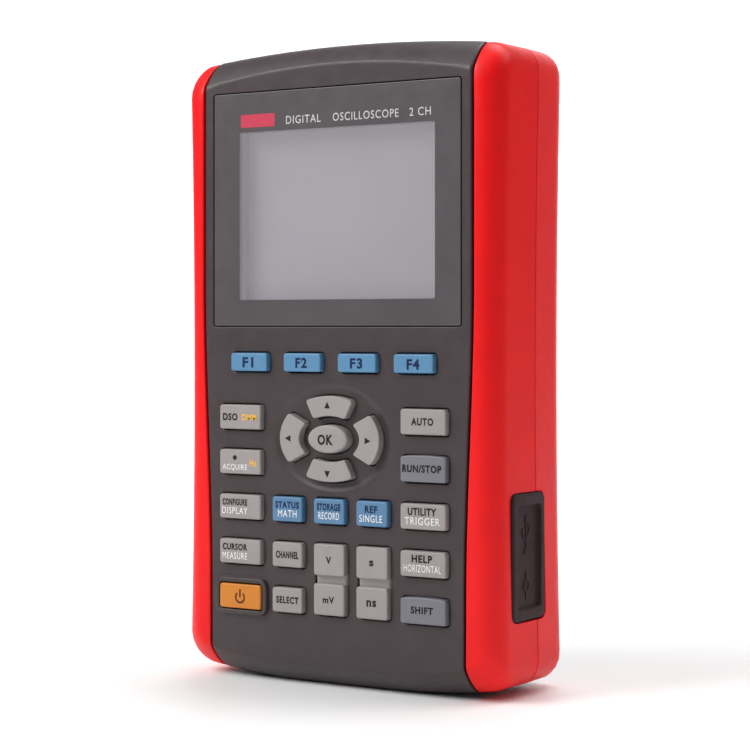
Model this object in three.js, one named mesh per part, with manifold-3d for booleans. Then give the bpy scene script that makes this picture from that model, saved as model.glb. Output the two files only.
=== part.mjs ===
// A handheld, battery-powered digital oscilloscope with a multimeter, 118 x 49 x 199 mm.
//
// Millimetres, +Z up. The instrument stands on its lower end with the screen facing -Y and +X to the
// viewer's right. The origin is the centre of the bounding box's underside. Depths written as t are
// measured from the flat front face towards the back.

import * as THREE from "three";
import { mergeVertices } from "three/addons/utils/BufferGeometryUtils.js";
import Module from "manifold-3d";

const wasm = await Module();
wasm.setup();

// ---- Driving dimensions -------------------------------------------------------------------------

const HEIGHT = 199;
const HALF_WIDTH = 59; // at the seam between the two half shells
const DEPTH = 46; // front face to back face, without the keys
const FRONT_Y = -21.5;
const BACK_Y = FRONT_Y + DEPTH;
const SEAM_T = 23.3;
const SEAM_Y = FRONT_Y + SEAM_T;
const SEAM_GAP = 0.3;

const SIDE_FRONT = 58.3; // half width where the front rounding ends
const FRONT_ROUND = 7.5;
const SIDE_REAR = 58.6; // half width where the rear rounding begins
const REAR_START_T = 36;
const REAR_ROUND_X = 11.6;
const REAR_ROUND_Z = 12;
const BEVEL_T = 9; // depth of the bevel along the top and bottom ends
const BEVEL_Z = 6.5;
const BEVEL_POWER = 1.8;
const CORNER_FRONT = 4.5; // corner radius of the outline, at the front face and behind it
const CORNER = 6.5;
const ARC_SPAN = 48; // the ends are arcs that fall by their sag at this distance from the middle
const TOP_SAG_FRONT = 4.5;
const TOP_SAG = 2.3;
const BOTTOM_SAG_FRONT = 3.5;
const BOTTOM_SAG = 2.1;
const FOOT = 16; // half width of the flat that the instrument stands on
const WAIST = 1.1; // how far the sides draw in at mid height
const WAIST_Z = 97;
const WAIST_SPAN = 88;

const WALL = 2.3;
const GRIP = 2; // thickness of the soft grips over the shells
const GRIP_GAP = 0.3;
const SPLIT_LOW = 47.1; // half width of the hard panel between the grips, low down and high up
const SPLIT_HIGH = 49.8;
const SPLIT_FROM_Z = 30;
const SPLIT_TO_Z = 125;

const WINDOW = { x: 45.4, low: 111.7, high: 185.2, thick: 1.5, gap: 0.35, corner: 0.8 };
const SCREEN = { x: 35.6, low: 119.9, high: 173.1 };
const LCD = { x: 38.2, low: 116.6, high: 176.4, front: 4.4, back: 8.6 };
const BOARD = { x: 38, low: 16, high: 176.4, front: 9.2, back: 10.8 };

const KEY_HEIGHT = 1.8; // how far a key's face stands out of the front face
const KEY_GAP = 0.35;
const KEY_CHAMFER = 0.45;
const KEY_FLANGE = 0.7; // how far a key's flange reaches past its cap
const KEY_BACK = WALL + 1.1;
const ROW_TOP = 82.9;
const ROW_PITCH = 14.15;
const KEYS_X = -0.4; // the keypad's middle, a little left of the case's
const COLUMN_OUTER = 33.7; // from the keypad's middle
const COLUMN_INNER = 15.6;
const WIDE_KEY = [16, 7.8];
const SMALL_KEY = [11.4, 7.8];
const SOFT_KEY = [14, 5.8];
const SOFT_KEY_Z = 100.3;
const SOFT_KEY_PITCH = 20.2;
const KEY_CORNER = 0.9;
const ROCKER = [11.4, 22];
const ROCKER_BRIDGE = 2.4; // length of the low bridge between the two pads of a rocker
const ROCKER_Z = 33.6;
const GUARD = { rim: 1.5, gap: 0.5, height: 1.4 };

const PAD = { z: 76.9, outer: [18.4, 13.3], inner: [11, 7], dish: [20.4, 15.4], deep: 0.7 };
const OK_KEY = [7.3, 4.4];
const OK_HEIGHT = 3;
const PAD_UP_END = [8.7, 5.8]; // half width of the up and down keys, outside and inside
const PAD_SIDE_END = [7.8, 4.5]; // half height of the left and right keys, outside and inside

const MAT = { x: 43.5, low: 21.2, high: 107, front: 7.9, back: 8.9, dome: 4.7, radius: 2.4 };

const PORT = { z: 42.4, t: 18.75, length: 38.2, width: 20, corner: 2.5, floor: 55, face: 58.5, gap: 0.3 };
const PORT_RECESS = { length: 31, width: 15.4, deep: 1.3 };
const USB = { z: 51, wide: 8, high: 4.2, from: 44, to: 54.6, shell: 0.4 };
const DC = { z: 34, radius: 3.9, bore: 3.05, pin: 1, from: 42, to: 54.6 };
const PORT_BOARD = { from: 34, to: 52, low: 25, high: 61, front: 23.9, back: 25.3 };

const BAY = { x: 43, front: -8, back: 17, deck: 184, wall: 2.4 };
const PANEL = { thick: 2.5, lip: 1.2 };
const SOCKET_Y = 4.2;
const BNC_X = [-34, -15.5];
const JACK_X = [3, 19.5, 36];

const STAND = { x: 31, low: 30, inner: 21.1, outer: 24.2, corner: 5, gap: 0.4 };
const HINGE = { y: 22.65, z: 128, barrel: 1.55, bore: 1.1, pin: 1 };
const REST = { x: 34.5, low: 20, high: 134, from: 16.8, floor: 20.8 }; // the block behind the stand
const NOTCH = { x: 9, low: 23, deep: 5.6 };
const DOOR = { x: 26.7, low: 38.3, high: 117.7, inner: 18.9, outer: 20.5, gap: 0.3 };
const BATTERY = { x: 23.5, low: 46.5, high: 115.5, front: 0.5, back: 18.4 };
const DOOR_SCREW = { x: 20.5, z: 42.4, head: 2.3, shank: 1.1 };
const CASE_SCREW = { x: 43.2, z: [17, 166], head: 2.7, shank: 1.4, seat: 19, tip: -8, boss: 3.3 };

// ---- Materials ----------------------------------------------------------------------------------

const plastic = (color, roughness = 0.55) =>
  new THREE.MeshStandardMaterial({ color, roughness, metalness: 0 });
const metal = (color, roughness = 0.3) =>
  new THREE.MeshStandardMaterial({ color, roughness, metalness: 1 });
const SHELL_GREY = plastic(0x46423f);
const GRIP_RED = plastic(0xd0201f, 0.5);
const LENS = new THREE.MeshStandardMaterial({ color: 0x5a5758, roughness: 0.12, metalness: 0 });
const KEY_GREY = plastic(0xa8a5a2);
const KEY_SLATE = plastic(0x868d9b);
const KEY_BLUE = plastic(0x5f93c8);
const KEY_ORANGE = plastic(0xd98f2e);
const BLACK_RUBBER = plastic(0x2d2628, 0.7);
const BOARD_GREEN = plastic(0x1f5a36, 0.5);
const SCREEN_GREY = plastic(0x9d9ba0, 0.35);
const BATTERY_WRAP = plastic(0x2f4f8f, 0.5);
const JACK_RED = plastic(0xb02020, 0.45);
const JACK_BLACK = plastic(0x1b1b1c, 0.45);
const SILICONE = plastic(0x8f8d8b, 0.75);
const STEEL = metal(0xb8b8b8);
const NICKEL = metal(0xd0cec6, 0.22);

// ---- Solids: three.js makes the shapes, manifold-3d joins and cuts them ---------------------------

function solid(geometry) {
  const g = geometry.clone();
  for (const name of Object.keys(g.attributes)) {
    if (name !== "position") g.deleteAttribute(name);
  }
  const merged = mergeVertices(g, 1e-4);
  return new wasm.Manifold(
    new wasm.Mesh({
      numProp: 3,
      vertProperties: merged.getAttribute("position").array,
      triVerts: new Uint32Array(merged.index.array),
    }),
  );
}

function geometryOf(manifold) {
  const mesh = manifold.getMesh();
  const geometry = new THREE.BufferGeometry();
  geometry.setAttribute("position", new THREE.BufferAttribute(mesh.vertProperties, 3));
  geometry.setIndex(new THREE.BufferAttribute(mesh.triVerts, 1));
  geometry.computeVertexNormals();
  return geometry;
}

const union = (...solids) => solids.reduce((a, b) => a.add(b));
const cut = (from, ...tools) => tools.reduce((a, b) => a.subtract(b), from);

// A box between two corners, given as ranges along X, Y and Z.
function block([x0, x1], [y0, y1], [z0, z1]) {
  const g = new THREE.BoxGeometry(x1 - x0, y1 - y0, z1 - z0);
  g.translate((x0 + x1) / 2, (y0 + y1) / 2, (z0 + z1) / 2);
  return solid(g);
}

// A cylinder along "x", "y" or "z" between two places on that axis, centred on the other two.
function rod(axis, radius, [from, to], [u, v], sides) {
  const g = new THREE.CylinderGeometry(radius, radius, to - from, sides);
  const middle = (from + to) / 2;
  if (axis === "x") g.rotateZ(-Math.PI / 2).translate(middle, u, v);
  if (axis === "y") g.translate(u, middle, v);
  if (axis === "z") g.rotateX(Math.PI / 2).translate(u, v, middle);
  return solid(g);
}

// A shape drawn in X and Z, extruded along Y.
function prism(shape, [y0, y1], curveSegments = 1) {
  const g = new THREE.ExtrudeGeometry(shape, { depth: y1 - y0, bevelEnabled: false, curveSegments });
  g.rotateX(Math.PI / 2).translate(0, y1, 0);
  return solid(g);
}

// A solid through rings of points in X and Z, from front to back. Each ring has the same number of
// points, anticlockwise as seen from the front.
function loft(rings) {
  const position = [];
  const index = [];
  const count = rings[0].points.length;
  for (const { y, points } of rings) for (const { x, y: z } of points) position.push(x, y, z);
  for (let r = 0; r + 1 < rings.length; r++) {
    for (let i = 0; i < count; i++) {
      const a = r * count + i;
      const b = r * count + ((i + 1) % count);
      index.push(a, b + count, b, a, a + count, b + count);
    }
  }
  const last = (rings.length - 1) * count;
  for (const [a, b, c] of THREE.ShapeUtils.triangulateShape(rings[0].points, [])) index.push(a, b, c);
  for (const [a, b, c] of THREE.ShapeUtils.triangulateShape(rings.at(-1).points, [])) {
    index.push(last + a, last + c, last + b);
  }
  const g = new THREE.BufferGeometry();
  g.setAttribute("position", new THREE.Float32BufferAttribute(position, 3));
  g.setIndex(index);
  return solid(g);
}

// The points of a closed shape, each once.
function pointsOf(shape, divisions = 1) {
  const points = shape.getPoints(divisions);
  return points.filter((p, i) => p.distanceTo(points[(i + 1) % points.length]) > 1e-6);
}

// A closed outline moved outwards by a distance, with its corners kept sharp.
function offset(points, by) {
  return points.map((p, i) => {
    const before = p.clone().sub(points.at(i - 1)).normalize();
    const after = points[(i + 1) % points.length].clone().sub(p).normalize();
    const normal = new THREE.Vector2(before.y + after.y, -before.x - after.x);
    return p.clone().add(normal.multiplyScalar((2 * by) / normal.lengthSq()));
  });
}

function roundedRect(x, z, width, height, radius) {
  const [l, r, b, t] = [x - width / 2, x + width / 2, z - height / 2, z + height / 2];
  const shape = new THREE.Shape();
  shape.moveTo(l + radius, b).lineTo(r - radius, b);
  shape.absarc(r - radius, b + radius, radius, -Math.PI / 2, 0, false);
  shape.lineTo(r, t - radius).absarc(r - radius, t - radius, radius, 0, Math.PI / 2, false);
  shape.lineTo(l + radius, t).absarc(l + radius, t - radius, radius, Math.PI / 2, Math.PI, false);
  shape.lineTo(l, b + radius).absarc(l + radius, b + radius, radius, Math.PI, 1.5 * Math.PI, false);
  return shape;
}

const Y = (t) => FRONT_Y + t;
const span = (from, to) => [Y(from), Y(to)];

// ---- The case's outer form ----------------------------------------------------------------------

const mix = THREE.MathUtils.lerp;
const share = (value, from, to) => THREE.MathUtils.clamp((value - from) / (to - from), 0, 1);
// Falls from 1 to 0 along a quarter circle as s goes from 0 to 1.
const quarter = (s) => 1 - Math.sqrt(1 - (1 - s) ** 2);

function halfWidthAt(t) {
  if (t < FRONT_ROUND) return SIDE_FRONT - FRONT_ROUND * quarter(t / FRONT_ROUND);
  if (t < SEAM_T) return mix(SIDE_FRONT, HALF_WIDTH, share(t, FRONT_ROUND, SEAM_T));
  if (t < REAR_START_T) return mix(HALF_WIDTH, SIDE_REAR, share(t, SEAM_T, REAR_START_T));
  return SIDE_REAR - REAR_ROUND_X * quarter(share(t, DEPTH, REAR_START_T));
}

function endInsetAt(t) {
  if (t < BEVEL_T) return BEVEL_Z * (1 - t / BEVEL_T) ** BEVEL_POWER;
  if (t < REAR_START_T) return 0;
  return REAR_ROUND_Z * quarter(share(t, DEPTH, REAR_START_T));
}

const waistAt = (z) => WAIST * Math.max(0, 1 - ((z - WAIST_Z) / WAIST_SPAN) ** 2);

// How finely the case's outline is cut: steps along each half arc, round each corner, shares of the
// way up each side, and depths.
const FINE = {
  arc: 3,
  corner: 3,
  sides: [0.25, 0.5, 0.75],
  depths: [0, 0.8, 2.6, 5, FRONT_ROUND, BEVEL_T, SEAM_T, REAR_START_T, 40, 43.6, DEPTH],
};
const COARSE = {
  arc: 1,
  corner: 2,
  sides: [0.5],
  depths: [0, 5, BEVEL_T, SEAM_T, REAR_START_T, 43.6, DEPTH],
};

// Half of an end of the outline, from its middle out to the side, as distances from the centre line
// and from the end's highest point. flat is the half width of a straight part in its middle.
function endPoints(half, radius, sag, flat, steps) {
  const drop = (x) => sag * Math.max(0, (x - flat) / (ARC_SPAN - flat)) ** 2;
  const slope = Math.atan((2 * sag * (half - radius - flat)) / (ARC_SPAN - flat) ** 2);
  const edge = half - radius + radius * Math.sin(slope);
  const points = [];
  for (let i = flat ? 0 : 1; i <= steps.arc; i++) {
    const x = mix(flat, edge, i / steps.arc);
    points.push([x, drop(x)]);
  }
  const centre = drop(edge) + radius * Math.cos(slope);
  for (let i = 1; i <= steps.corner; i++) {
    const angle = mix(Math.PI / 2 - slope, 0, i / steps.corner);
    points.push([half - radius + radius * Math.cos(angle), centre - radius * Math.sin(angle)]);
  }
  return points;
}

// The case's outline at depth t, drawn in by inset, anticlockwise from the middle of the top.
function outlineAt(t, inset, steps) {
  const half = halfWidthAt(t) - inset;
  const radius = Math.max(mix(CORNER_FRONT, CORNER, share(t, 0, FRONT_ROUND)) - inset, 3);
  const bevel = share(t, 0, BEVEL_T);
  const high = HEIGHT - endInsetAt(t) - inset;
  const low = endInsetAt(t) + inset;
  const top = endPoints(half, radius, mix(TOP_SAG_FRONT, TOP_SAG, bevel), 0, steps);
  const bottom = endPoints(half, radius, mix(BOTTOM_SAG_FRONT, BOTTOM_SAG, bevel), FOOT, steps);
  const lower = low + bottom.at(-1)[1];
  const upper = high - top.at(-1)[1];
  const side = steps.sides.map((s) => {
    const z = mix(lower, upper, s);
    return [half - waistAt(z), z];
  });
  const right = [
    ...bottom.map(([x, d]) => [x, low + d]),
    ...side,
    ...top.map(([x, d]) => [x, high - d]).reverse(),
  ];
  const left = right.map(([x, z]) => [-x, z]).reverse();
  return [[0, high], ...left, ...right].map(([x, z]) => new THREE.Vector2(x, z));
}

// The whole case as one solid, drawn in by inset all over.
function body(inset, steps = COARSE) {
  return loft(
    steps.depths.map((t) => ({
      y: Y(mix(inset, DEPTH - inset, t / DEPTH)),
      points: outlineAt(t, inset, steps),
    })),
  );
}

// Half width of the hard panel between the two grips.
function splitAt(z) {
  return mix(SPLIT_LOW, SPLIT_HIGH, THREE.MathUtils.smoothstep(z, SPLIT_FROM_Z, SPLIT_TO_Z));
}

const splitHeights = [-9, 30, 46, 60, 77, 94, 108, 125, HEIGHT + 9];

// Everything between the grips, moved in by gap on both sides.
function panelZone(gap) {
  const shape = new THREE.Shape();
  shape.setFromPoints([
    ...splitHeights.map((z) => new THREE.Vector2(splitAt(z) - gap, z)),
    ...splitHeights.map((z) => new THREE.Vector2(gap - splitAt(z), z)).reverse(),
  ]);
  return prism(shape, [FRONT_Y - 9, BACK_Y + 9]);
}

// Everything outside the panel on one side, for a grip.
function gripZone(side) {
  const far = HALF_WIDTH + 9;
  const shape = new THREE.Shape();
  shape.setFromPoints([
    ...splitHeights.map((z) => new THREE.Vector2(side * splitAt(z), z)),
    new THREE.Vector2(side * far, HEIGHT + 9),
    new THREE.Vector2(side * far, -9),
  ]);
  return prism(shape, [FRONT_Y - 9, BACK_Y + 9]);
}

const everywhere = [-HALF_WIDTH - 9, HALF_WIDTH + 9];
const allHeights = [-9, HEIGHT + 9];
const FRONT_HALF = block(everywhere, [FRONT_Y - 9, SEAM_Y - SEAM_GAP / 2], allHeights);
const REAR_HALF = block(everywhere, [SEAM_Y + SEAM_GAP / 2, BACK_Y + 9], allHeights);

const OUTER = body(0, FINE);
const UNDER_GRIP = body(GRIP + GRIP_GAP);
const GRIP_CORE = body(GRIP);
const CAVITY = union(
  body(WALL).intersect(panelZone(WALL + GRIP_GAP)),
  body(GRIP + GRIP_GAP + WALL),
);
const HARD_CASE = union(OUTER.intersect(panelZone(GRIP_GAP)), UNDER_GRIP);

// ---- The scene graph ----------------------------------------------------------------------------

const scope = new THREE.Group();

function add(name, manifold, material, position = [0, 0, 0]) {
  const mesh = new THREE.Mesh(geometryOf(manifold), material);
  mesh.name = name;
  mesh.position.set(...position);
  scope.add(mesh);
}

// ---- Keys ---------------------------------------------------------------------------------------

const row = (i) => ROW_TOP - i * ROW_PITCH;

const ROUND_CORNERED_KEYS = [
  ...[0, 1, 2, 3].map((i) => ({
    name: `key_f${i + 1}`,
    x: KEYS_X + (i - 1.5) * SOFT_KEY_PITCH,
    z: SOFT_KEY_Z,
    size: SOFT_KEY,
    material: KEY_BLUE,
  })),
  ...["key_mode", "key_acquire", "key_display", "key_measure", "key_power"].map((name, i) => ({
    name,
    x: KEYS_X - COLUMN_OUTER,
    z: row(i),
    size: WIDE_KEY,
    material: name === "key_power" ? KEY_ORANGE : KEY_GREY,
  })),
  ...["key_auto", "key_run_stop", "key_trigger", "key_horizontal", "key_shift"].map((name, i) => ({
    name,
    x: KEYS_X + COLUMN_OUTER,
    z: row(i),
    size: WIDE_KEY,
    material: name === "key_run_stop" || name === "key_shift" ? KEY_SLATE : KEY_GREY,
  })),
  ...["key_math", "key_record", "key_single"].map((name, i) => ({
    name,
    x: KEYS_X + (i - 1) * COLUMN_INNER,
    z: row(2),
    size: SMALL_KEY,
    material: KEY_BLUE,
  })),
  ...["key_channel", "key_select"].map((name, i) => ({
    name,
    x: KEYS_X - COLUMN_INNER,
    z: row(3 + i),
    size: SMALL_KEY,
    material: KEY_GREY,
  })),
];

const ROCKERS = [
  { name: "rocker_volts", x: KEYS_X },
  { name: "rocker_time", x: KEYS_X + COLUMN_INNER },
];

// The outline of one arrow key: a piece of an oval ring with straight ends.
function padOutline(direction) {
  const upright = direction === "up" || direction === "down";
  const sign = direction === "up" || direction === "right" ? 1 : -1;
  const [outerEnd, innerEnd] = upright ? PAD_UP_END : PAD_SIDE_END;
  const across = upright ? 0 : 1;
  const place = (semi, angle) => {
    const sideways = semi[across] * Math.sin(angle);
    const outwards = sign * semi[1 - across] * Math.cos(angle);
    const [x, z] = upright ? [sideways, outwards] : [outwards, sideways];
    return new THREE.Vector2(KEYS_X + x, PAD.z + z);
  };
  const outer = Math.asin(outerEnd / PAD.outer[across]);
  const inner = Math.asin(innerEnd / PAD.inner[across]);
  const steps = [0, 1, 2, 3, 4];
  const points = [
    ...steps.map((i) => place(PAD.outer, mix(-outer, outer, i / 4))),
    ...steps.map((i) => place(PAD.inner, mix(inner, -inner, i / 4))),
  ];
  return THREE.ShapeUtils.isClockWise(points) ? points.reverse() : points;
}

const DIRECTIONS = ["up", "down", "left", "right"];
const padShapes = new Map(DIRECTIONS.map((direction) => [direction, padOutline(direction)]));

function keyPoints({ x, z, size: [w, h] }, grow = 0) {
  return pointsOf(roundedRect(x, z, w + 2 * grow, h + 2 * grow, KEY_CORNER + grow));
}

function ovalPoints([a, b], grow = 0, divisions = 8) {
  return pointsOf(new THREE.Shape().absellipse(KEYS_X, PAD.z, a + grow, b + grow, 0, 2 * Math.PI), divisions);
}

// A key cap with chamfered edges and the flange that keeps it behind the front wall. outline gives
// the key's points, moved outwards by a distance.
function keyCap(outline, height, flange = KEY_FLANGE) {
  return loft([
    { y: Y(-height), points: outline(-KEY_CHAMFER) },
    { y: Y(KEY_CHAMFER - height), points: outline(0) },
    { y: Y(KEY_BACK - 0.8), points: outline(0) },
    { y: Y(KEY_BACK - 0.8), points: outline(flange) },
    { y: Y(KEY_BACK), points: outline(flange) },
  ]);
}

function addKeys() {
  for (const key of ROUND_CORNERED_KEYS) {
    add(key.name, keyCap((grow) => keyPoints(key, grow), KEY_HEIGHT), key.material);
  }
  for (const { name, x } of ROCKERS) {
    const key = { x, z: ROCKER_Z, size: ROCKER };
    const cap = keyCap((grow) => keyPoints(key, Math.min(grow, 0)), KEY_HEIGHT);
    const ears = block(
      [x - ROCKER[0] / 2 - KEY_FLANGE, x + ROCKER[0] / 2 + KEY_FLANGE],
      span(KEY_BACK - 0.8, KEY_BACK),
      [ROCKER_Z - 2.5, ROCKER_Z + 2.5],
    );
    const dip = block(
      [x - ROCKER[0], x + ROCKER[0]],
      span(-9, -0.3),
      [ROCKER_Z - ROCKER_BRIDGE / 2, ROCKER_Z + ROCKER_BRIDGE / 2],
    );
    add(name, cut(union(cap, ears), dip), KEY_GREY);
  }
  for (const direction of DIRECTIONS) {
    const outline = padShapes.get(direction);
    add(`key_${direction}`, keyCap((grow) => offset(outline, grow), KEY_HEIGHT), KEY_GREY);
  }
  add("key_ok", keyCap((grow) => ovalPoints(OK_KEY, grow), OK_HEIGHT), KEY_GREY);
}

// The holes that the keys work in.
function keyHoles() {
  const through = (points) => loft([{ y: Y(-9), points }, { y: Y(WALL + 9), points }]);
  return union(
    ...ROUND_CORNERED_KEYS.map((key) => through(keyPoints(key, KEY_GAP))),
    ...ROCKERS.map(({ x }) => through(keyPoints({ x, z: ROCKER_Z, size: ROCKER }, KEY_GAP + 0.1))),
    ...DIRECTIONS.map((direction) => through(offset(padShapes.get(direction), KEY_GAP))),
    through(ovalPoints(OK_KEY, KEY_GAP)),
  );
}

// The shallow dish that the arrow keys stand in.
function padDish() {
  const slope = 2.4;
  return loft([
    { y: Y(-PAD.deep), points: ovalPoints(PAD.dish, slope) },
    { y: Y(PAD.deep), points: ovalPoints(PAD.dish, -slope) },
  ]);
}

// The silicone mat behind the keys, with one dome under each.
function addKeypadMat() {
  const sheet = prism(
    roundedRect(0, (MAT.low + MAT.high) / 2, 2 * MAT.x, MAT.high - MAT.low, 3),
    span(MAT.front, MAT.back),
  );
  const dome = (x, z, radius = MAT.radius) => {
    const g = new THREE.CylinderGeometry(radius, radius * 0.6, MAT.front - MAT.dome + 0.2, 5);
    return solid(g.translate(x, Y((MAT.front + MAT.dome + 0.2) / 2), z));
  };
  const padDomes = [[0, 1], [0, -1], [1, 0], [-1, 0]].map(([x, z]) => [KEYS_X + x * 14.5, PAD.z + z * 10]);
  const rockerDomes = ROCKERS.flatMap(({ x }) => [7, -7].map((dz) => [x, ROCKER_Z + dz]));
  const places = [...ROUND_CORNERED_KEYS.map(({ x, z }) => [x, z]), ...padDomes, ...rockerDomes, [KEYS_X, PAD.z]];
  add("keypad_mat", union(sheet, ...places.map(([x, z]) => dome(x, z))), SILICONE);
}

// ---- Shells and grips ---------------------------------------------------------------------------

// The rounded box of the port opening in the right side, from depth x outwards.
function portPocket(x, grow = 0) {
  const size = [PORT.width + 2 * grow, PORT.length + 2 * grow];
  const g = new THREE.ExtrudeGeometry(roundedRect(0, 0, ...size, PORT.corner + grow), {
    depth: 20,
    bevelEnabled: false,
    curveSegments: 1,
  });
  g.rotateX(Math.PI / 2).rotateZ(Math.PI / 2).translate(x, Y(PORT.t), PORT.z);
  return solid(g);
}

function connectorBay() {
  const deckLow = BAY.deck - PANEL.thick;
  return {
    walls: block(
      [-BAY.x - BAY.wall, BAY.x + BAY.wall],
      [BAY.front - BAY.wall, BAY.back + BAY.wall],
      [deckLow - BAY.wall, HEIGHT],
    ),
    space: block([-BAY.x, BAY.x], [BAY.front, BAY.back], [deckLow - 9, HEIGHT + 9]),
    slot: block(
      [-BAY.x - PANEL.lip, BAY.x + PANEL.lip],
      [BAY.front - PANEL.lip, BAY.back + PANEL.lip],
      [deckLow - GRIP_GAP, BAY.deck + GRIP_GAP],
    ),
  };
}

function caseScrewPlaces() {
  return CASE_SCREW.z.flatMap((z) => [[-CASE_SCREW.x, z], [CASE_SCREW.x, z]]);
}

// The raised rim that keeps a thumb off the power key.
function powerGuard() {
  const power = ROUND_CORNERED_KEYS.find((key) => key.name === "key_power");
  const reach = GUARD.gap + GUARD.rim;
  return loft([
    { y: Y(-GUARD.height), points: keyPoints(power, reach - 0.6) },
    { y: Y(0.6 - GUARD.height), points: keyPoints(power, reach) },
    { y: Y(WALL), points: keyPoints(power, reach) },
  ]);
}

function addFrontHousing(bay) {
  const window = (grow) =>
    roundedRect(
      0,
      (WINDOW.low + WINDOW.high) / 2,
      2 * (WINDOW.x + grow),
      WINDOW.high - WINDOW.low + 2 * grow,
      WINDOW.corner,
    );
  const bosses = caseScrewPlaces().map(([x, z]) =>
    rod("y", CASE_SCREW.boss, [Y(WALL - 0.4), SEAM_Y - SEAM_GAP / 2], [x, z], 8),
  );
  const pilots = caseScrewPlaces().map(([x, z]) =>
    rod("y", CASE_SCREW.shank + 0.3, [CASE_SCREW.tip - 1, SEAM_Y + 9], [x, z], 8),
  );
  const shell = union(cut(HARD_CASE, CAVITY), bay.walls.intersect(HARD_CASE), powerGuard(), ...bosses);
  const holes = [
    prism(window(WINDOW.gap), span(-9, WINDOW.thick + 0.1)),
    block([-LCD.x - GRIP_GAP, LCD.x + GRIP_GAP], span(-9, WALL + 2), [LCD.low, LCD.high]),
    padDish(),
    keyHoles(),
    bay.space,
    bay.slot,
    ...pilots,
    portPocket(PORT.floor, PORT.gap),
    block([USB.to - 9, PORT.face], span(PORT.t - USB.high / 2 - 0.3, PORT.t + USB.high / 2 + 0.3),
      [USB.z - USB.wide / 2 - 0.3, USB.z + USB.wide / 2 + 0.3]),
    rod("x", DC.radius + 0.3, [DC.to - 9, PORT.face], [Y(PORT.t), DC.z], 16),
  ];
  add("front_housing", cut(shell.intersect(FRONT_HALF), ...holes), SHELL_GREY);
}

function addRearHousing(bay) {
  const restBlock = block([-REST.x, REST.x], [REST.from, BACK_Y], [REST.low, REST.high]);
  const standRecess = prism(
    roundedRect(
      0,
      (STAND.low + HINGE.z + HINGE.barrel) / 2,
      2 * (STAND.x + STAND.gap),
      HINGE.z + HINGE.barrel - STAND.low + 2 * STAND.gap,
      1,
    ),
    [REST.floor, BACK_Y + 9],
  );
  const doorSeat = block(
    [-DOOR.x - DOOR.gap, DOOR.x + DOOR.gap],
    [DOOR.inner - 0.2, BACK_Y],
    [DOOR.low - DOOR.gap, DOOR.high + DOOR.gap],
  );
  const batteryWay = block(
    [-BATTERY.x - 0.5, BATTERY.x + 0.5],
    [REST.from - 9, BACK_Y],
    [BATTERY.low - 0.5, BATTERY.high + 0.5],
  );
  const bosses = caseScrewPlaces().map(([x, z]) =>
    rod("y", CASE_SCREW.boss + 0.9, [SEAM_Y + SEAM_GAP / 2, BACK_Y - 1], [x, z], 8).intersect(HARD_CASE),
  );
  const screwWays = caseScrewPlaces().flatMap(([x, z]) => [
    rod("y", CASE_SCREW.shank + 0.3, [SEAM_Y - 9, BACK_Y + 9], [x, z], 8),
    rod("y", CASE_SCREW.head + 0.4, [CASE_SCREW.seat, BACK_Y + 9], [x, z], 12),
  ]);
  const doorPilots = [-1, 1].map((side) =>
    rod("y", DOOR_SCREW.shank + 0.2, [REST.from - 9, BACK_Y], [side * DOOR_SCREW.x, DOOR_SCREW.z], 8),
  );
  const shell = union(
    cut(HARD_CASE, CAVITY),
    bay.walls.intersect(HARD_CASE),
    restBlock.intersect(HARD_CASE),
    ...bosses,
  );
  const holes = [
    standRecess,
    doorSeat,
    batteryWay,
    block([-NOTCH.x, NOTCH.x], [BACK_Y - NOTCH.deep, BACK_Y + 9], [NOTCH.low, STAND.low + 1]),
    rod("x", HINGE.pin + 0.06, [-REST.x + 1, REST.x - 1], [HINGE.y, HINGE.z], 12),
    bay.space,
    bay.slot,
    ...screwWays,
    ...doorPilots,
    portPocket(PORT.floor, PORT.gap),
  ];
  add("rear_housing", cut(shell.intersect(REAR_HALF), ...holes), SHELL_GREY);
}

function addGrips() {
  const skin = cut(OUTER, GRIP_CORE);
  for (const [end, half] of [["front", FRONT_HALF], ["rear", REAR_HALF]]) {
    for (const [hand, side] of [["left", -1], ["right", 1]]) {
      const grip = skin.intersect(gripZone(side)).intersect(half);
      add(`${end}_grip_${hand}`, cut(grip, portPocket(PORT.floor - 9, PORT.gap)), GRIP_RED);
    }
  }
}

// ---- Display ------------------------------------------------------------------------------------

function addDisplay() {
  const middle = (WINDOW.low + WINDOW.high) / 2;
  const lens = roundedRect(0, middle, 2 * WINDOW.x, WINDOW.high - WINDOW.low, WINDOW.corner);
  add("display_window", prism(lens, span(0, WINDOW.thick)), LENS);
  add(
    "lcd_module",
    block([-LCD.x + 1, LCD.x - 1], span(LCD.front, LCD.back - 0.6), [LCD.low + 1, LCD.high - 1]),
    SCREEN_GREY,
  );
  const frame = block([-LCD.x, LCD.x], span(LCD.front - 0.8, LCD.back), [LCD.low, LCD.high]);
  const inside = block(
    [-LCD.x + 0.6, LCD.x - 0.6],
    span(LCD.front - 0.4, LCD.back - 0.4),
    [LCD.low + 0.6, LCD.high - 0.6],
  );
  const mouth = block([-SCREEN.x, SCREEN.x], span(0, LCD.front + 1), [SCREEN.low, SCREEN.high]);
  add("lcd_frame", cut(frame, inside, mouth), STEEL);
}

// ---- Electronics --------------------------------------------------------------------------------

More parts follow.
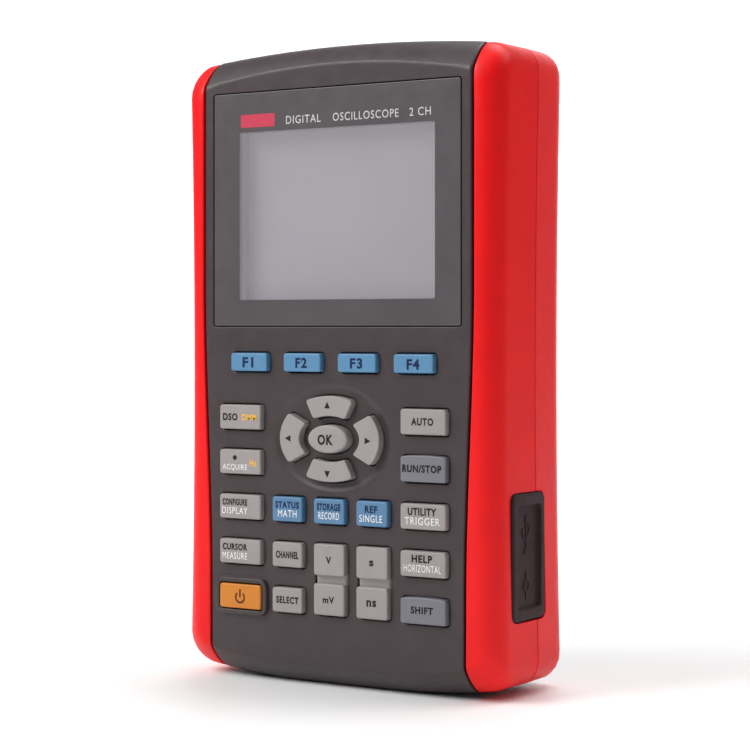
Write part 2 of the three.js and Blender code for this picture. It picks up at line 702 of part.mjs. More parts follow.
function addElectronics() {
  const board = block([-BOARD.x, BOARD.x], span(BOARD.front, BOARD.back), [BOARD.low, BOARD.high]);
  add("main_board", board, BOARD_GREEN);
  const can = block([-33, 33], span(BOARD.back + 0.3, BOARD.back + 6.3), [122, 172]);
  const canInside = block([-32.4, 32.4], span(BOARD.back, BOARD.back + 5.7), [122.6, 171.4]);
  add("shield_can", cut(can, canInside), STEEL);
  add("beeper", rod("y", 7, span(BOARD.back + 0.3, BOARD.back + 4.8), [-25, 106], 12), JACK_BLACK);
  const cellY = (BATTERY.front + BATTERY.back) / 2;
  const cell = (x) => rod("z", 9, [BATTERY.low + 2, BATTERY.high - 2], [x, cellY], 16);
  const wrap = block(
    [-BATTERY.x + 4, BATTERY.x - 4],
    [BATTERY.front, BATTERY.back],
    [BATTERY.low, BATTERY.high],
  );
  add("battery_pack", union(cell(-BATTERY.x + 9), cell(BATTERY.x - 9), wrap), BATTERY_WRAP);
  const portBoard = block(
    [PORT_BOARD.from, PORT_BOARD.to],
    span(PORT_BOARD.front, PORT_BOARD.back),
    [PORT_BOARD.low, PORT_BOARD.high],
  );
  add("port_board", portBoard, BOARD_GREEN);
}

// ---- Ports under the side cover -----------------------------------------------------------------

function addPorts() {
  const usbHalf = [USB.high / 2, USB.wide / 2];
  const usb = (grow, x0, x1) =>
    block(
      [x0, x1],
      span(PORT.t - usbHalf[0] - grow, PORT.t + usbHalf[0] + grow),
      [USB.z - usbHalf[1] - grow, USB.z + usbHalf[1] + grow],
    );
  const tongue = block(
    [USB.from + 1, USB.to - 1],
    span(PORT.t - 0.5, PORT.t + 0.5),
    [USB.z - 2.5, USB.z + 2.5],
  );
  const foot = block([USB.from, USB.to - 3], span(PORT.t, PORT_BOARD.front - 0.3), [USB.z - 3, USB.z + 3]);
  const usbBlank = union(usb(0, USB.from, USB.to), foot);
  add("usb_socket", union(cut(usbBlank, usb(-USB.shell, USB.from + 1.2, USB.to + 1)), tongue), NICKEL);

  const jackBody = block(
    [DC.from, DC.to - 3.5],
    span(PORT.t - 4.4, PORT_BOARD.front - 0.3),
    [DC.z - 4.6, DC.z + 4.6],
  );
  const nose = rod("x", DC.radius, [DC.to - 4, DC.to], [Y(PORT.t), DC.z], 16);
  const bore = rod("x", DC.bore, [DC.from + 2, DC.to + 1], [Y(PORT.t), DC.z], 16);
  const pin = rod("x", DC.pin, [DC.from + 1, DC.to - 1.5], [Y(PORT.t), DC.z], 12);
  add("dc_jack", union(cut(union(jackBody, nose), bore), pin), JACK_BLACK);

  const plate = portPocket(PORT.floor + PORT.gap, 0).intersect(
    block([PORT.floor, PORT.face], [-99, 99], [0, HEIGHT]),
  );
  const scoop = block(
    [PORT.face - PORT_RECESS.deep, PORT.face + 9],
    span(PORT.t - PORT_RECESS.width / 2, PORT.t + PORT_RECESS.width / 2),
    [PORT.z - PORT_RECESS.length / 2, PORT.z + PORT_RECESS.length / 2],
  );
  add("port_cover", cut(plate, scoop), BLACK_RUBBER);
}

// ---- Connectors on the top end ------------------------------------------------------------------

function addConnectors() {
  const low = BAY.deck - PANEL.thick;
  const reach = PANEL.lip - GRIP_GAP;
  const plate = block(
    [-BAY.x - reach, BAY.x + reach],
    [BAY.front - reach, BAY.back + reach],
    [low, BAY.deck],
  );
  const holes = [
    ...BNC_X.map((x) => rod("z", 5.3, [low - 1, BAY.deck + 1], [x, SOCKET_Y], 12)),
    ...JACK_X.map((x) => rod("z", 6.4, [low - 1, BAY.deck + 1], [x, SOCKET_Y], 12)),
  ];
  add("connector_panel", cut(plate, ...holes), SHELL_GREY);

  BNC_X.forEach((x, i) => {
    const centre = [x, SOCKET_Y];
    const barrel = rod("z", 4.8, [low - 8, BAY.deck + 12.5], centre, 12);
    const flange = rod("z", 7, [BAY.deck + 0.3, BAY.deck + 2.3], centre, 12);
    const nut = rod("z", 7, [low - 3.3, low - 0.3], centre, 6);
    const lugs = rod("x", 1, [x - 5.8, x + 5.8], [SOCKET_Y, BAY.deck + 9], 6);
    const hollow = rod("z", 4.05, [BAY.deck + 3.5, BAY.deck + 14], centre, 12);
    const sleeve = rod("z", 2.3, [BAY.deck + 3, BAY.deck + 11.5], centre, 8);
    const contact = rod("z", 0.7, [BAY.deck + 5, BAY.deck + 14], centre, 6);
    const outside = cut(union(barrel, flange, nut, lugs), hollow);
    add(`bnc_socket_${i + 1}`, union(outside, cut(sleeve, contact)), NICKEL);
  });

  const names = ["com", "volts", "amps"];
  JACK_X.forEach((x, i) => {
    const centre = [x, SOCKET_Y];
    const shell = rod("z", 6, [low - 10, BAY.deck + 9], centre, 12);
    const flange = rod("z", 7, [BAY.deck + 0.3, BAY.deck + 1.8], centre, 12);
    const ring = rod("z", 4.9, [BAY.deck - 9, BAY.deck + 12], centre, 12);
    const post = rod("z", 3, [BAY.deck - 10, BAY.deck + 5], centre, 8);
    const bore = rod("z", 2.05, [BAY.deck - 8, BAY.deck + 12], centre, 8);
    add(
      `jack_${names[i]}`,
      union(cut(union(shell, flange), ring), cut(post, bore)),
      names[i] === "com" ? JACK_BLACK : JACK_RED,
    );
  });
}

// ---- Stand, battery door and screws --------------------------------------------------------------

function addStand() {
  const top = HINGE.z;
  const outline = roundedRect(0, (STAND.low + top) / 2, 2 * STAND.x, top - STAND.low, STAND.corner);
  const plate = prism(outline, [STAND.inner, STAND.outer], 2);
  const shoulder = block([-STAND.x, STAND.x], [STAND.inner, STAND.outer], [top - 9, top]);
  const barrel = rod("x", HINGE.barrel, [-STAND.x, STAND.x], [HINGE.y, HINGE.z], 16);
  const relief = block(
    [-STAND.x + 6, STAND.x - 6],
    [STAND.inner - 1, STAND.inner + 1.2],
    [STAND.low + 14, top - 12],
  );
  const bore = rod("x", HINGE.bore, [-STAND.x - 1, STAND.x + 1], [HINGE.y, HINGE.z], 16);
  add("tilt_stand", cut(union(plate, shoulder, barrel), relief, bore), SHELL_GREY);
  add("stand_hinge_pin", rod("x", HINGE.pin, [-REST.x + 1.3, REST.x - 1.3], [HINGE.y, HINGE.z], 16), STEEL);
}

// A screw with a cross slot in its head, pointing towards -Y, with its head's top at the origin.
function screw(head, headThick, shank, length) {
  const slotWidth = head * 0.28;
  const slots = [
    block([-head * 0.7, head * 0.7], [-headThick * 0.5, 1], [-slotWidth, slotWidth]),
    block([-slotWidth, slotWidth], [-headThick * 0.5, 1], [-head * 0.7, head * 0.7]),
  ];
  const blank = union(
    rod("y", head, [-headThick, 0], [0, 0], 12),
    rod("y", shank, [-length, -headThick / 2], [0, 0], 8),
  );
  return cut(blank, ...slots);
}

function addDoorAndScrews() {
  const door = block([-DOOR.x, DOOR.x], [DOOR.inner, DOOR.outer], [DOOR.low, DOOR.high]);
  const holes = [-1, 1].flatMap((side) => {
    const centre = [side * DOOR_SCREW.x, DOOR_SCREW.z];
    return [
      rod("y", DOOR_SCREW.shank + 0.3, [DOOR.inner - 1, DOOR.outer + 1], centre, 8),
      rod("y", DOOR_SCREW.head + 0.3, [DOOR.outer - 1, DOOR.outer + 1], centre, 12),
    ];
  });
  add("battery_door", cut(door, ...holes), SHELL_GREY);
  ["left", "right"].forEach((hand, i) => {
    const x = (2 * i - 1) * DOOR_SCREW.x;
    const fit = screw(DOOR_SCREW.head, 0.7, DOOR_SCREW.shank, DOOR.outer - REST.from - 0.4);
    add(`door_screw_${hand}`, fit, STEEL, [x, DOOR.outer - 0.15, DOOR_SCREW.z]);
  });
  caseScrewPlaces().forEach(([x, z], i) => {
    const thick = 1.8;
    const length = CASE_SCREW.seat + thick - CASE_SCREW.tip;
    const name = `case_screw_${["lower", "upper"][Math.floor(i / 2)]}_${["left", "right"][i % 2]}`;
    const top = CASE_SCREW.seat + thick + 0.3;
    add(name, screw(CASE_SCREW.head, thick, CASE_SCREW.shank, length), STEEL, [x, top, z]);
  });
}

const bay = connectorBay();
addFrontHousing(bay);
addRearHousing(bay);
addGrips();
addDisplay();
addKeys();
addKeypadMat();
addElectronics();
addPorts();
addConnectors();
addStand();
addDoorAndScrews();

export default scope;
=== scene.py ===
"""The looks of a handheld oscilloscope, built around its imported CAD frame.

Sizes are in millimetres until a mesh is made. Depths written as t are measured from the flat front
face towards the back. An outline is an array of (x, z) points, anticlockwise as seen from the front.
"""

import math

import bmesh
import bpy
import numpy as np
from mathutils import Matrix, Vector, geometry


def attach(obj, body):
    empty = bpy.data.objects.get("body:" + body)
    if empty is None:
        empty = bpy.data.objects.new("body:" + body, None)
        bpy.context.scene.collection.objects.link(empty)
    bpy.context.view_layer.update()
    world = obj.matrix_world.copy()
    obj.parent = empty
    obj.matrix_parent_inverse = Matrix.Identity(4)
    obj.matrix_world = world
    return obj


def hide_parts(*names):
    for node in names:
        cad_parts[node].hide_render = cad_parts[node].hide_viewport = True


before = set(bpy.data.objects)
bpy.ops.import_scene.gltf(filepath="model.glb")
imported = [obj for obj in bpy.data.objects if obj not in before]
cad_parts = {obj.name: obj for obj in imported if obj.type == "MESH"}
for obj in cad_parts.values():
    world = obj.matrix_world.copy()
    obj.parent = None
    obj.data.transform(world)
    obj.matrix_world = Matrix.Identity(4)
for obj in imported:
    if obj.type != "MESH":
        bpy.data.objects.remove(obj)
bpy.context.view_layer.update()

# ---- Sizes shared with the CAD source ----

HEIGHT = 199.0
HALF_WIDTH = 59.0
DEPTH = 46.0
FRONT_Y = -21.5
BACK_Y = FRONT_Y + DEPTH
SEAM_T = 23.3
SEAM_GAP = 0.3
GROOVE = 0.75  # between the hard shells and the grips
SIDE_FRONT = 58.3
FRONT_ROUND = 7.5
SIDE_REAR = 58.6
REAR_START_T = 36.0
REAR_ROUND_X = 11.6
REAR_ROUND_Z = 12.0
BEVEL_T = 9.0
BEVEL_Z = 6.5
BEVEL_POWER = 1.8
CORNER_FRONT = 4.5
CORNER = 6.5
ARC_SPAN = 48.0
TOP_SAG_FRONT = 4.5
TOP_SAG = 2.3
BOTTOM_SAG_FRONT = 3.5
BOTTOM_SAG = 2.1
FOOT = 16.0
WAIST = 1.1
WAIST_Z = 97.0
WAIST_SPAN = 88.0
SPLIT_LOW = 47.1
SPLIT_HIGH = 49.8
SPLIT_FROM_Z = 30.0
SPLIT_TO_Z = 125.0

WINDOW_X, WINDOW_LOW, WINDOW_HIGH, WINDOW_THICK = 45.4, 111.7, 185.2, 1.5
SCREEN_X, SCREEN_LOW, SCREEN_HIGH = 36.0, 119.8, 172.8
SCREEN_SHIFT = 0.55  # the screen sits a little right of the window's middle
LCD_T, LCD_X, LCD_LOW, LCD_HIGH = 5.3, 37.2, 117.6, 175.4

KEY_HEIGHT = 1.8
KEY_GAP = 0.35
KEY_BACK = 3.4
KEY_CORNER, HOLE_CORNER = 0.95, 1.3
ROW_TOP = 82.9
ROW_PITCH = 14.15
KEYS_X = -0.4  # the keypad's middle
COLUMN_OUTER = 33.7
COLUMN_INNER = 15.6
WIDE_KEY = (16.0, 7.8)
SMALL_KEY = (11.4, 7.8)
SOFT_KEY = (14.0, 5.8)
SOFT_KEY_Z = 100.3
SOFT_KEY_PITCH = 20.2
ROCKER = (11.4, 22.0)
ROCKER_Z = 33.6
ROCKER_BRIDGE = 2.4
ROCKER_PAD = (ROCKER[1] - ROCKER_BRIDGE) / 2
ROCKER_REACH = (ROCKER[1] + ROCKER_BRIDGE) / 4  # from the rocker's middle to each pad's
ROCKERS = {"rocker_volts": KEYS_X, "rocker_time": KEYS_X + COLUMN_INNER}
GUARD_REACH = 2.0
GUARD_HEIGHT = 1.4
PAD_Z = 76.9
PAD_OUTER = (18.4, 13.3)
PAD_INNER = (11.0, 7.0)
PAD_UP_END = (8.7, 5.8)
PAD_SIDE_END = (7.8, 4.5)
DISH = (20.9, 15.9)
DISH_DEEP = 0.6
OK_KEY = (7.3, 4.4)
OK_HEIGHT = 2.9

PORT_Z, PORT_T, PORT_LENGTH, PORT_WIDTH = 42.4, 18.75, 38.2, 20.0
PORT_FACE, PORT_FLOOR, PORT_CORNER = 58.5, 55.0, 2.5
USB_Z, DC_Z = 51.0, 34.0
BAY_X, BAY_FRONT, BAY_BACK, BAY_DECK = 43.0, -8.0, 17.0, 184.0
SOCKET_Y = 4.2
BNC_X = (-34.0, -15.5)
JACK_X = (3.0, 19.5, 36.0)
STAND_X, STAND_LOW, STAND_INNER, STAND_OUTER = 31.0, 30.0, 21.1, 24.2
HINGE_Y, HINGE_Z, BARREL = 22.65, 128.0, 1.55
REST_X, REST_FROM, REST_LOW, REST_HIGH, RECESS_FLOOR = 34.5, 16.8, 20.0, 134.0, 20.8
DOOR_X, DOOR_LOW, DOOR_HIGH, DOOR_INNER, DOOR_OUTER = 26.7, 38.3, 117.7, 18.9, 20.5
DOOR_SCREW_X, DOOR_SCREW_Z = 20.5, 42.4
CASE_SCREW_X, CASE_SCREW_Z, CASE_SCREW_SEAT = 43.2, (17.0, 166.0), 19.0

# ---- Sizes of the visible detail ----

SKIN = 1.9  # how thick the shells are drawn
GRIP_SKIN = 2.0
EDGE = 0.55  # radius of the shells' edges along the grooves
SEAM_EDGE = 0.3
EDGE_STEPS = [EDGE * (1 - math.sin(a)) for a in np.radians([90, 72, 54, 36, 18, 0])]
SEAM_STEPS = [SEAM_EDGE * (1 - math.sin(a)) for a in np.radians([0, 18, 36, 54, 72, 90])]
NEAR = EDGE_STEPS + [EDGE + 0.25]  # distances of the columns of points along a groove
CREASE_SUPPORT = 0.8
CAP_T = [0, 0.2, 0.5, 0.95, 1.6, 2.5, 3.7, 5.2, 7.0, 9.0, 11.0, BAY_FRONT - FRONT_Y, 17.0, 20.5]
GRIP_END = 24.0  # the grips' ends are drawn round points this far from the case's ends
CROWN = 0.1
ARROW_EDGE = 0.32
ARCHED = ("key_run_stop", "key_shift")
DISH_SLOPE = [(1.6, 0), (1.2, 0), (0.8, 0.03), (0.3, 0.13), (-0.2, 0.3), (-0.7, 0.47), (-1.1, 0.57)]
ARROWS = {"up": (90, 0, 10.4), "down": (-90, 0, -10.4), "left": (180, -14.5, 0), "right": (0, 14.5, 0)}
INK_THICK, INK_GAP = 0.03, 0.004
TRACKING = 1.14
BOLD, LIGHT = 0.034, 0.0
TITLE_Z, TITLE_HEIGHT = 175.9, 2.5
HANDS = ((-1, "left"), (1, "right"))


def y_at(t):
    return FRONT_Y + t


def mix(a, b, s):
    return a + (b - a) * s


def share(value, low, high):
    return np.clip((value - low) / (high - low), 0, 1)


# ---- The case's outer form ----


def quarter(s):
    return 1 - np.sqrt(np.maximum(1 - (1 - s) ** 2, 0))


def half_width(t):
    front = SIDE_FRONT - FRONT_ROUND * quarter(share(t, 0, FRONT_ROUND))
    middle = mix(SIDE_FRONT, HALF_WIDTH, share(t, FRONT_ROUND, SEAM_T))
    rear = mix(HALF_WIDTH, SIDE_REAR, share(t, SEAM_T, REAR_START_T))
    back = SIDE_REAR - REAR_ROUND_X * quarter(1 - share(t, REAR_START_T, DEPTH))
    behind = np.where(t < SEAM_T, middle, np.where(t < REAR_START_T, rear, back))
    return np.where(t < FRONT_ROUND, front, behind)


def end_inset(t):
    bevel = BEVEL_Z * (1 - share(t, 0, BEVEL_T)) ** BEVEL_POWER
    return np.where(t < REAR_START_T, bevel, REAR_ROUND_Z * quarter(1 - share(t, REAR_START_T, DEPTH)))


def corner_radius(t):
    return mix(CORNER_FRONT, CORNER, share(t, 0, FRONT_ROUND))


def waist(z):
    return WAIST * np.maximum(0, 1 - ((z - WAIST_Z) / WAIST_SPAN) ** 2)


def split(z):
    s = share(z, SPLIT_FROM_Z, SPLIT_TO_Z)
    return mix(SPLIT_LOW, SPLIT_HIGH, s * s * (3 - 2 * s))


def end_height(x, t, top):
    """Height of the case's arched end at (x, t), before its corners are rounded."""
    bevel = share(t, 0, BEVEL_T)
    if top:
        return HEIGHT - end_inset(t) - mix(TOP_SAG_FRONT, TOP_SAG, bevel) * (x / ARC_SPAN) ** 2
    past_foot = np.maximum(np.abs(x) - FOOT, 0) / (ARC_SPAN - FOOT)
    return end_inset(t) + mix(BOTTOM_SAG_FRONT, BOTTOM_SAG, bevel) * past_foot**2


def end_surface(x, t, top):
    """Height of the case's end at (x, t), with its corners rounded."""
    radius = corner_radius(t)
    side = HEIGHT - 20 if top else 20.0
    into = np.maximum(np.abs(x) - (half_width(t) - waist(side)) + radius, 0)
    drop = radius - np.sqrt(np.maximum(radius**2 - np.minimum(into, radius) ** 2, 0))
    return end_height(x, t, top) + (-drop if top else drop)


def outside(x, z, t):
    """Positive outside the case, negative inside."""
    radius = corner_radius(t)
    a = np.abs(x) - half_width(t) + waist(z) + radius
    b = np.maximum(z - end_height(x, t, True), end_height(x, t, False) - z) + radius
    rounded = np.hypot(np.maximum(a, 0), np.maximum(b, 0)) - radius
    gap = np.where((a > 0) & (b > 0), rounded, np.maximum(a, b) - radius)
    return np.maximum(gap, np.maximum(-t, t - DEPTH))


def cast(start, direction, reach=80.0):
    """Where rays from inside the case leave it. Both arrays hold (x, z, t) along their last axis."""
    low = np.zeros(start.shape[:-1])
    high = np.full(start.shape[:-1], reach)
    for _ in range(36):
        middle = (low + high) / 2
        p = start + direction * middle[..., None]
        inside = outside(p[..., 0], p[..., 1], p[..., 2]) < 0
        low = np.where(inside, middle, low)
        high = np.where(inside, high, middle)
    return start + direction * low[..., None]


def edge_drop(distance, radius):
    """How far a rounded edge lies under the surface, at a distance from its border."""
    short = np.clip(radius - distance, 0, radius)
    return radius - np.sqrt(radius**2 - short**2)


# ---- Outlines ----


def polar(radius, angles):
    return radius * np.stack([np.cos(angles), np.sin(angles)], 1)


def circle(radius, centre, sides):
    return polar(radius, np.linspace(0, 2 * math.pi, sides, endpoint=False)) + centre


def ellipse(semi, grow=0.0):
    """An oval round the middle of the arrow pad."""
    return circle(1, (0, 0), 96) * (semi[0] + grow, semi[1] + grow) + (KEYS_X, PAD_Z)


def rounded_rect(x, z, width, height, radius, steps=6, arch=0.0):
    """A rectangle with round corners. arch lifts the middle of its upper side."""
    points = []
    for sx, sz, first in ((1, -1, -90), (1, 1, 0), (-1, 1, 90), (-1, -1, 180)):
        angles = np.radians(np.linspace(first, first + 90, steps + 1))
        points.extend(polar(radius, angles) + (sx * (width / 2 - radius), sz * (height / 2 - radius)))
        if arch and first == 0:
            points += [(width / 2 * s, height / 2 + arch * (1 - s * s)) for s in np.linspace(0.8, -0.8, 9)]
    return np.array(points) + (x, z)


def rect_between(half_x, low, high, radius, x=0.0):
    return rounded_rect(x, (low + high) / 2, 2 * half_x, high - low, radius)


def growing_rect(x, z, width, height, radius):
    return lambda grow: rounded_rect(x, z, width + 2 * grow, height + 2 * grow, radius + grow)


def offset(points, by):
    """A closed outline moved outwards, with its corners kept."""
    before = points - np.roll(points, 1, 0)
    after = np.roll(points, -1, 0) - points
    before = before / np.linalg.norm(before, axis=1, keepdims=True)
    after = after / np.linalg.norm(after, axis=1, keepdims=True)
    normal = np.stack([before[:, 1] + after[:, 1], -before[:, 0] - after[:, 0]], 1)
    return points + normal * (2 * by / (normal**2).sum(1, keepdims=True))


def towards(a, b, reach):
    return a + (b - a) / np.linalg.norm(b - a) * reach


def fillet(pieces, reach):
    """Joins open polylines into a closed outline, with a smooth curve of that reach at each joint."""
    points = []
    for piece, following in zip(pieces, pieces[1:] + pieces[:1]):
        to_end = np.linalg.norm(piece - piece[-1], axis=1)
        to_start = np.linalg.norm(piece - piece[0], axis=1)
        points.extend(piece[(to_end > reach + 0.2) & (to_start > reach + 0.2)])
        a = towards(piece[-1], piece[-2], reach)
        b = towards(following[0], following[1], reach)
        for s in np.linspace(0, 1, 7):
            points.append((1 - s) ** 2 * a + 2 * s * (1 - s) * piece[-1] + s * s * b)
    return np.array(points)


def arrow_key(direction):
    """A piece of an oval ring with straight ends and soft corners."""
    upright = direction in ("up", "down")
    sign = 1 if direction in ("up", "right") else -1
    ends = PAD_UP_END if upright else PAD_SIDE_END
    across = 0 if upright else 1

    def arc(semi, end, flip):
        reach = math.asin(end / semi[across])
        a = np.linspace(reach, -reach, 25) * flip
        side, out = semi[across] * np.sin(a), sign * semi[1 - across] * np.cos(a)
        return np.stack([side, out] if upright else [out, side], 1) + (KEYS_X, PAD_Z)

    outer, inner = arc(PAD_OUTER, ends[0], 1), arc(PAD_INNER, ends[1], -1)
    points = fillet([outer, np.array([outer[-1], inner[0]]), inner, np.array([inner[-1], outer[0]])], 1.15)
    following = np.roll(points, -1, 0)
    area = np.sum(points[:, 0] * following[:, 1] - points[:, 1] * following[:, 0])
    return points if area > 0 else points[::-1]


def layer(points, along, axis="y"):
    """A flat outline as 3D points, at a place along an axis."""
    if axis == "x":
        return [(along, a, b) for a, b in points]
    if axis == "y":
        return [(a, along, b) for a, b in points]
    return [(a, b, along) for a, b in points]


def flatten(ring):
    """The (x, z) outline of a ring."""
    return np.array([(p[0], p[2]) for p in ring])


# ---- Meshes ----


class Skin:
    """Collects the points and faces of one closed mesh, in millimetres."""

    def __init__(self):
        self.points = []
        self.faces = []

    def add(self, points):
        first = len(self.points)
        self.points.extend(points)
        return list(range(first, len(self.points)))

    def strip(self, a, b, closed=False):
        for i in range(len(a) if closed else len(a) - 1):
            j = (i + 1) % len(a)
            self.faces.append((a[i], a[j], b[j], b[i]))

    def rings(self, rings, closed=True):
        """Joins closed rings of 3D points in order, and closes the ends."""
        ids = [self.add(ring) for ring in rings]
        for a, b in zip(ids, ids[1:]):
            self.strip(a, b, closed=True)
        if closed:
            self.faces += [tuple(ids[0]), tuple(ids[-1])]
        return ids

    def stack(self, layers, axis="y", closed=True):
        """Joins (outline, place along the axis) pairs in order, and closes the ends."""
        return self.rings([layer(outline, along, axis) for outline, along in layers], closed)

    def capped(self, rings):
        """Joins rings in order, and closes the ends of a shape that curves inwards."""
        ids = self.rings(rings, closed=False)
        for end in (0, -1):
            self.fill(ids[end], [flatten(rings[end])])

    def grid(self, grid, keep=None):
        """Joins a grid of 3D points. keep(row, column) says which of its faces are made."""
        ids = [self.add(line) for line in grid]
        for r in range(len(ids) - 1):
            for c in range(len(ids[0]) - 1):
                if keep is None or keep(r, c):
                    self.faces.append((ids[r][c], ids[r][c + 1], ids[r + 1][c + 1], ids[r + 1][c]))
        return ids

    def sides(self, a, b):
        """Joins the first and last columns of two grids."""
        for end in (0, -1):
            self.strip([r[end] for r in a], [r[end] for r in b])

    def shell(self, outer, inner):
        """A closed shell between two grids of the same size."""
        a, b = self.grid(outer), self.grid(inner)
        self.strip(a[0], b[0])
        self.strip(a[-1], b[-1])
        self.sides(a, b)

    def fill(self, ids, loops):
        """Triangles between flat loops whose points are in the mesh: the first loop holds the others."""
        points = np.concatenate(loops)
        following = np.concatenate([np.roll(loop, -1, 0) for loop in loops])
        starts = np.cumsum([0] + [len(loop) for loop in loops])
        edges = [(a + k, a + (k + 1) % (b - a)) for a, b in zip(starts, starts[1:]) for k in range(b - a)]
        found = geometry.delaunay_2d_cdt([Vector(p) for p in points], edges, [], 0, 1e-7)
        corners = np.array([[found[3][v][0] for v in face] for face in found[2]])
        middle = points[corners].mean(1)[:, None, :]
        x, z = points[None, :, 0], points[None, :, 1]
        above = (z > middle[..., 1]) != (following[None, :, 1] > middle[..., 1])
        rise = np.where(above, following[None, :, 1] - z, 1.0)
        cross = x + (middle[..., 1] - z) / rise * (following[None, :, 0] - x)
        inside = (above & (middle[..., 0] < cross)).sum(1) % 2 == 1
        self.faces.extend(tuple(ids[v] for v in face) for face in corners[inside])

    def plate(self, y, outline, holes):
        """A flat face at depth y with holes in it."""
        loops = [outline, *holes]
        self.fill(self.add(layer(np.concatenate(loops), y)), loops)

    def join(self, other):
        """Adds another closed skin to this mesh."""
        first = len(self.points)
        self.points.extend(other.points)
        self.faces.extend(tuple(first + i for i in face) for face in other.faces)

    def mesh(self, sharp=38.0):
        mesh = bpy.data.meshes.new("skin")
        mesh.from_pydata([Vector(p) * 0.001 for p in self.points], [], self.faces)
        bm = bmesh.new()
        bm.from_mesh(mesh)
        bmesh.ops.remove_doubles(bm, verts=bm.verts, dist=2e-6)
        bmesh.ops.dissolve_degenerate(bm, edges=bm.edges, dist=1e-7)
        bmesh.ops.recalc_face_normals(bm, faces=bm.faces)
        bm.to_mesh(mesh)
        bm.free()
        smooth(mesh, sharp)
        return mesh

    def make(self, name, material, body="case", node=None, sharp=38.0):
        place(self.mesh(sharp), name, material, body, node)


def smooth(mesh, sharp):
    mesh.shade_smooth()
    mesh.set_sharp_from_angle(angle=math.radians(sharp))


def place(mesh, name, material, body="case", node=None):
    """Puts a finished mesh in the scene, with its finish, its body and the node that it stands for."""
    mesh.name = name
    mesh.materials.clear()
    mesh.materials.append(material)
    obj = bpy.data.objects.new(name, mesh)
    bpy.context.scene.collection.objects.link(obj)
    obj.modifiers.new("even_shading", "WEIGHTED_NORMAL").keep_sharp = True
    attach(obj, body)
    if node:
        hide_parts(node)


def evaluated_mesh(obj):
    """The mesh of an object after its modifiers. The object is removed."""
    bpy.context.view_layer.update()
    mesh = bpy.data.meshes.new_from_object(obj.evaluated_get(bpy.context.evaluated_depsgraph_get()))
    bpy.data.objects.remove(obj)
    return mesh


def boolean(base, tools, operation="DIFFERENCE", sharp=38.0):
    """The mesh of a form with others cut from it or joined to it. A form is a skin or a mesh."""
    base, *tools = [form.mesh() if isinstance(form, Skin) else form for form in (base, *tools)]
    scene = bpy.context.scene
    obj = bpy.data.objects.new("work", base)
    scene.collection.objects.link(obj)
    helpers = [bpy.data.objects.new("tool", tool) for tool in tools]
    for helper in helpers:
        scene.collection.objects.link(helper)
        modifier = obj.modifiers.new("cut", "BOOLEAN")
        modifier.operation = operation
        modifier.solver = "MANIFOLD"
        modifier.object = helper
    result = evaluated_mesh(obj)
    for helper in helpers:
        bpy.data.objects.remove(helper)
    smooth(result, sharp)
    return result


def lathe(profile, centre, axis="z", sides=48, base=0.0):
    """A turned form. profile holds (radius, height over the base) pairs."""
    skin = Skin()
    skin.stack([(circle(radius, centre, sides), base + height) for radius, height in profile], axis)
    return skin


def prism(outline, start, end, edge=0.0, axis="y"):
    """A closed solid of an outline between two places on an axis, with its edges rounded at the end."""
    skin = Skin()
    inwards = -edge if end > start else edge
    layers = [(outline, start)]
    for a in np.radians(np.linspace(0, 90, 5)) if edge else [math.pi / 2]:
        layers.append((offset(outline, -edge * (1 - math.cos(a))), end + inwards * (1 - math.sin(a))))
    skin.stack(layers, axis)
    return skin


def box(x, y, z):
    skin = Skin()
    skin.rings([[(x[i], y[j], h) for i, j in ((0, 0), (1, 0), (1, 1), (0, 1))] for h in z])
    return skin


# ---- Materials ----


def linear(red, green, blue, factor=1.0):
    """An sRGB colour from 0 to 255, none of it near black, as a linear one times a factor."""
    return tuple(min(1, factor * ((c / 255 + 0.055) / 1.055) ** 2.4) for c in (red, green, blue)) + (1,)


class Finish:
    """Builds one procedural material. Its noises are given as (size in mm, detail)."""

    def __init__(self, name, slot=None, **sockets):
        self.material = bpy.data.materials.new(name)
        self.material.use_nodes = True
        self.nodes = self.material.node_tree.nodes
        self.links = self.material.node_tree.links
        self.shader = self.nodes["Principled BSDF"]
        self.place = self.nodes.new("ShaderNodeTexCoord").outputs["Object"]
        self.normal = None
        for socket, value in sockets.items():
            self.shader.inputs[socket.replace("_", " ")].default_value = value

    def noise(self, size_mm, detail):
        scale = self.nodes.new("ShaderNodeMapping")
        scale.inputs["Scale"].default_value = [1000 / size_mm] * 3
        self.links.new(self.place, scale.inputs["Vector"])
        noise = self.nodes.new("ShaderNodeTexNoise")
        noise.inputs["Scale"].default_value = 1.0
        noise.inputs["Detail"].default_value = detail
        noise.inputs["Roughness"].default_value = 0.55
        self.links.new(scale.outputs["Vector"], noise.inputs["Vector"])
        return noise.outputs["Fac"]

    def vary(self, socket, noise, low, high, at=(0.35, 0.65)):
        """Drives a socket between two numbers or two colours."""
        ramp = self.nodes.new("ShaderNodeValToRGB")
        for element, where, value in zip(ramp.color_ramp.elements, at, (low, high)):
            element.position = where
            element.color = value if isinstance(value, tuple) else (value, value, value, 1)
        self.links.new(self.noise(*noise), ramp.inputs["Fac"])
        self.links.new(ramp.outputs["Color"], self.shader.inputs[socket])

    def use_normal(self, normal):
        self.normal = normal
        self.links.new(normal, self.shader.inputs["Normal"])

    def bump(self, noise, strength, distance_mm):
        bump = self.nodes.new("ShaderNodeBump")
        bump.inputs["Strength"].default_value = strength
        bump.inputs["Distance"].default_value = distance_mm * 0.001
        self.links.new(self.noise(*noise), bump.inputs["Height"])
        if self.normal:
            self.links.new(self.normal, bump.inputs["Normal"])
        self.use_normal(bump.outputs["Normal"])

    def soften(self, radius_mm):
        """Rounds hard edges in the shading."""
        bevel = self.nodes.new("ShaderNodeBevel")
        bevel.samples = 4
        bevel.inputs["Radius"].default_value = radius_mm * 0.001
        self.use_normal(bevel.outputs["Normal"])


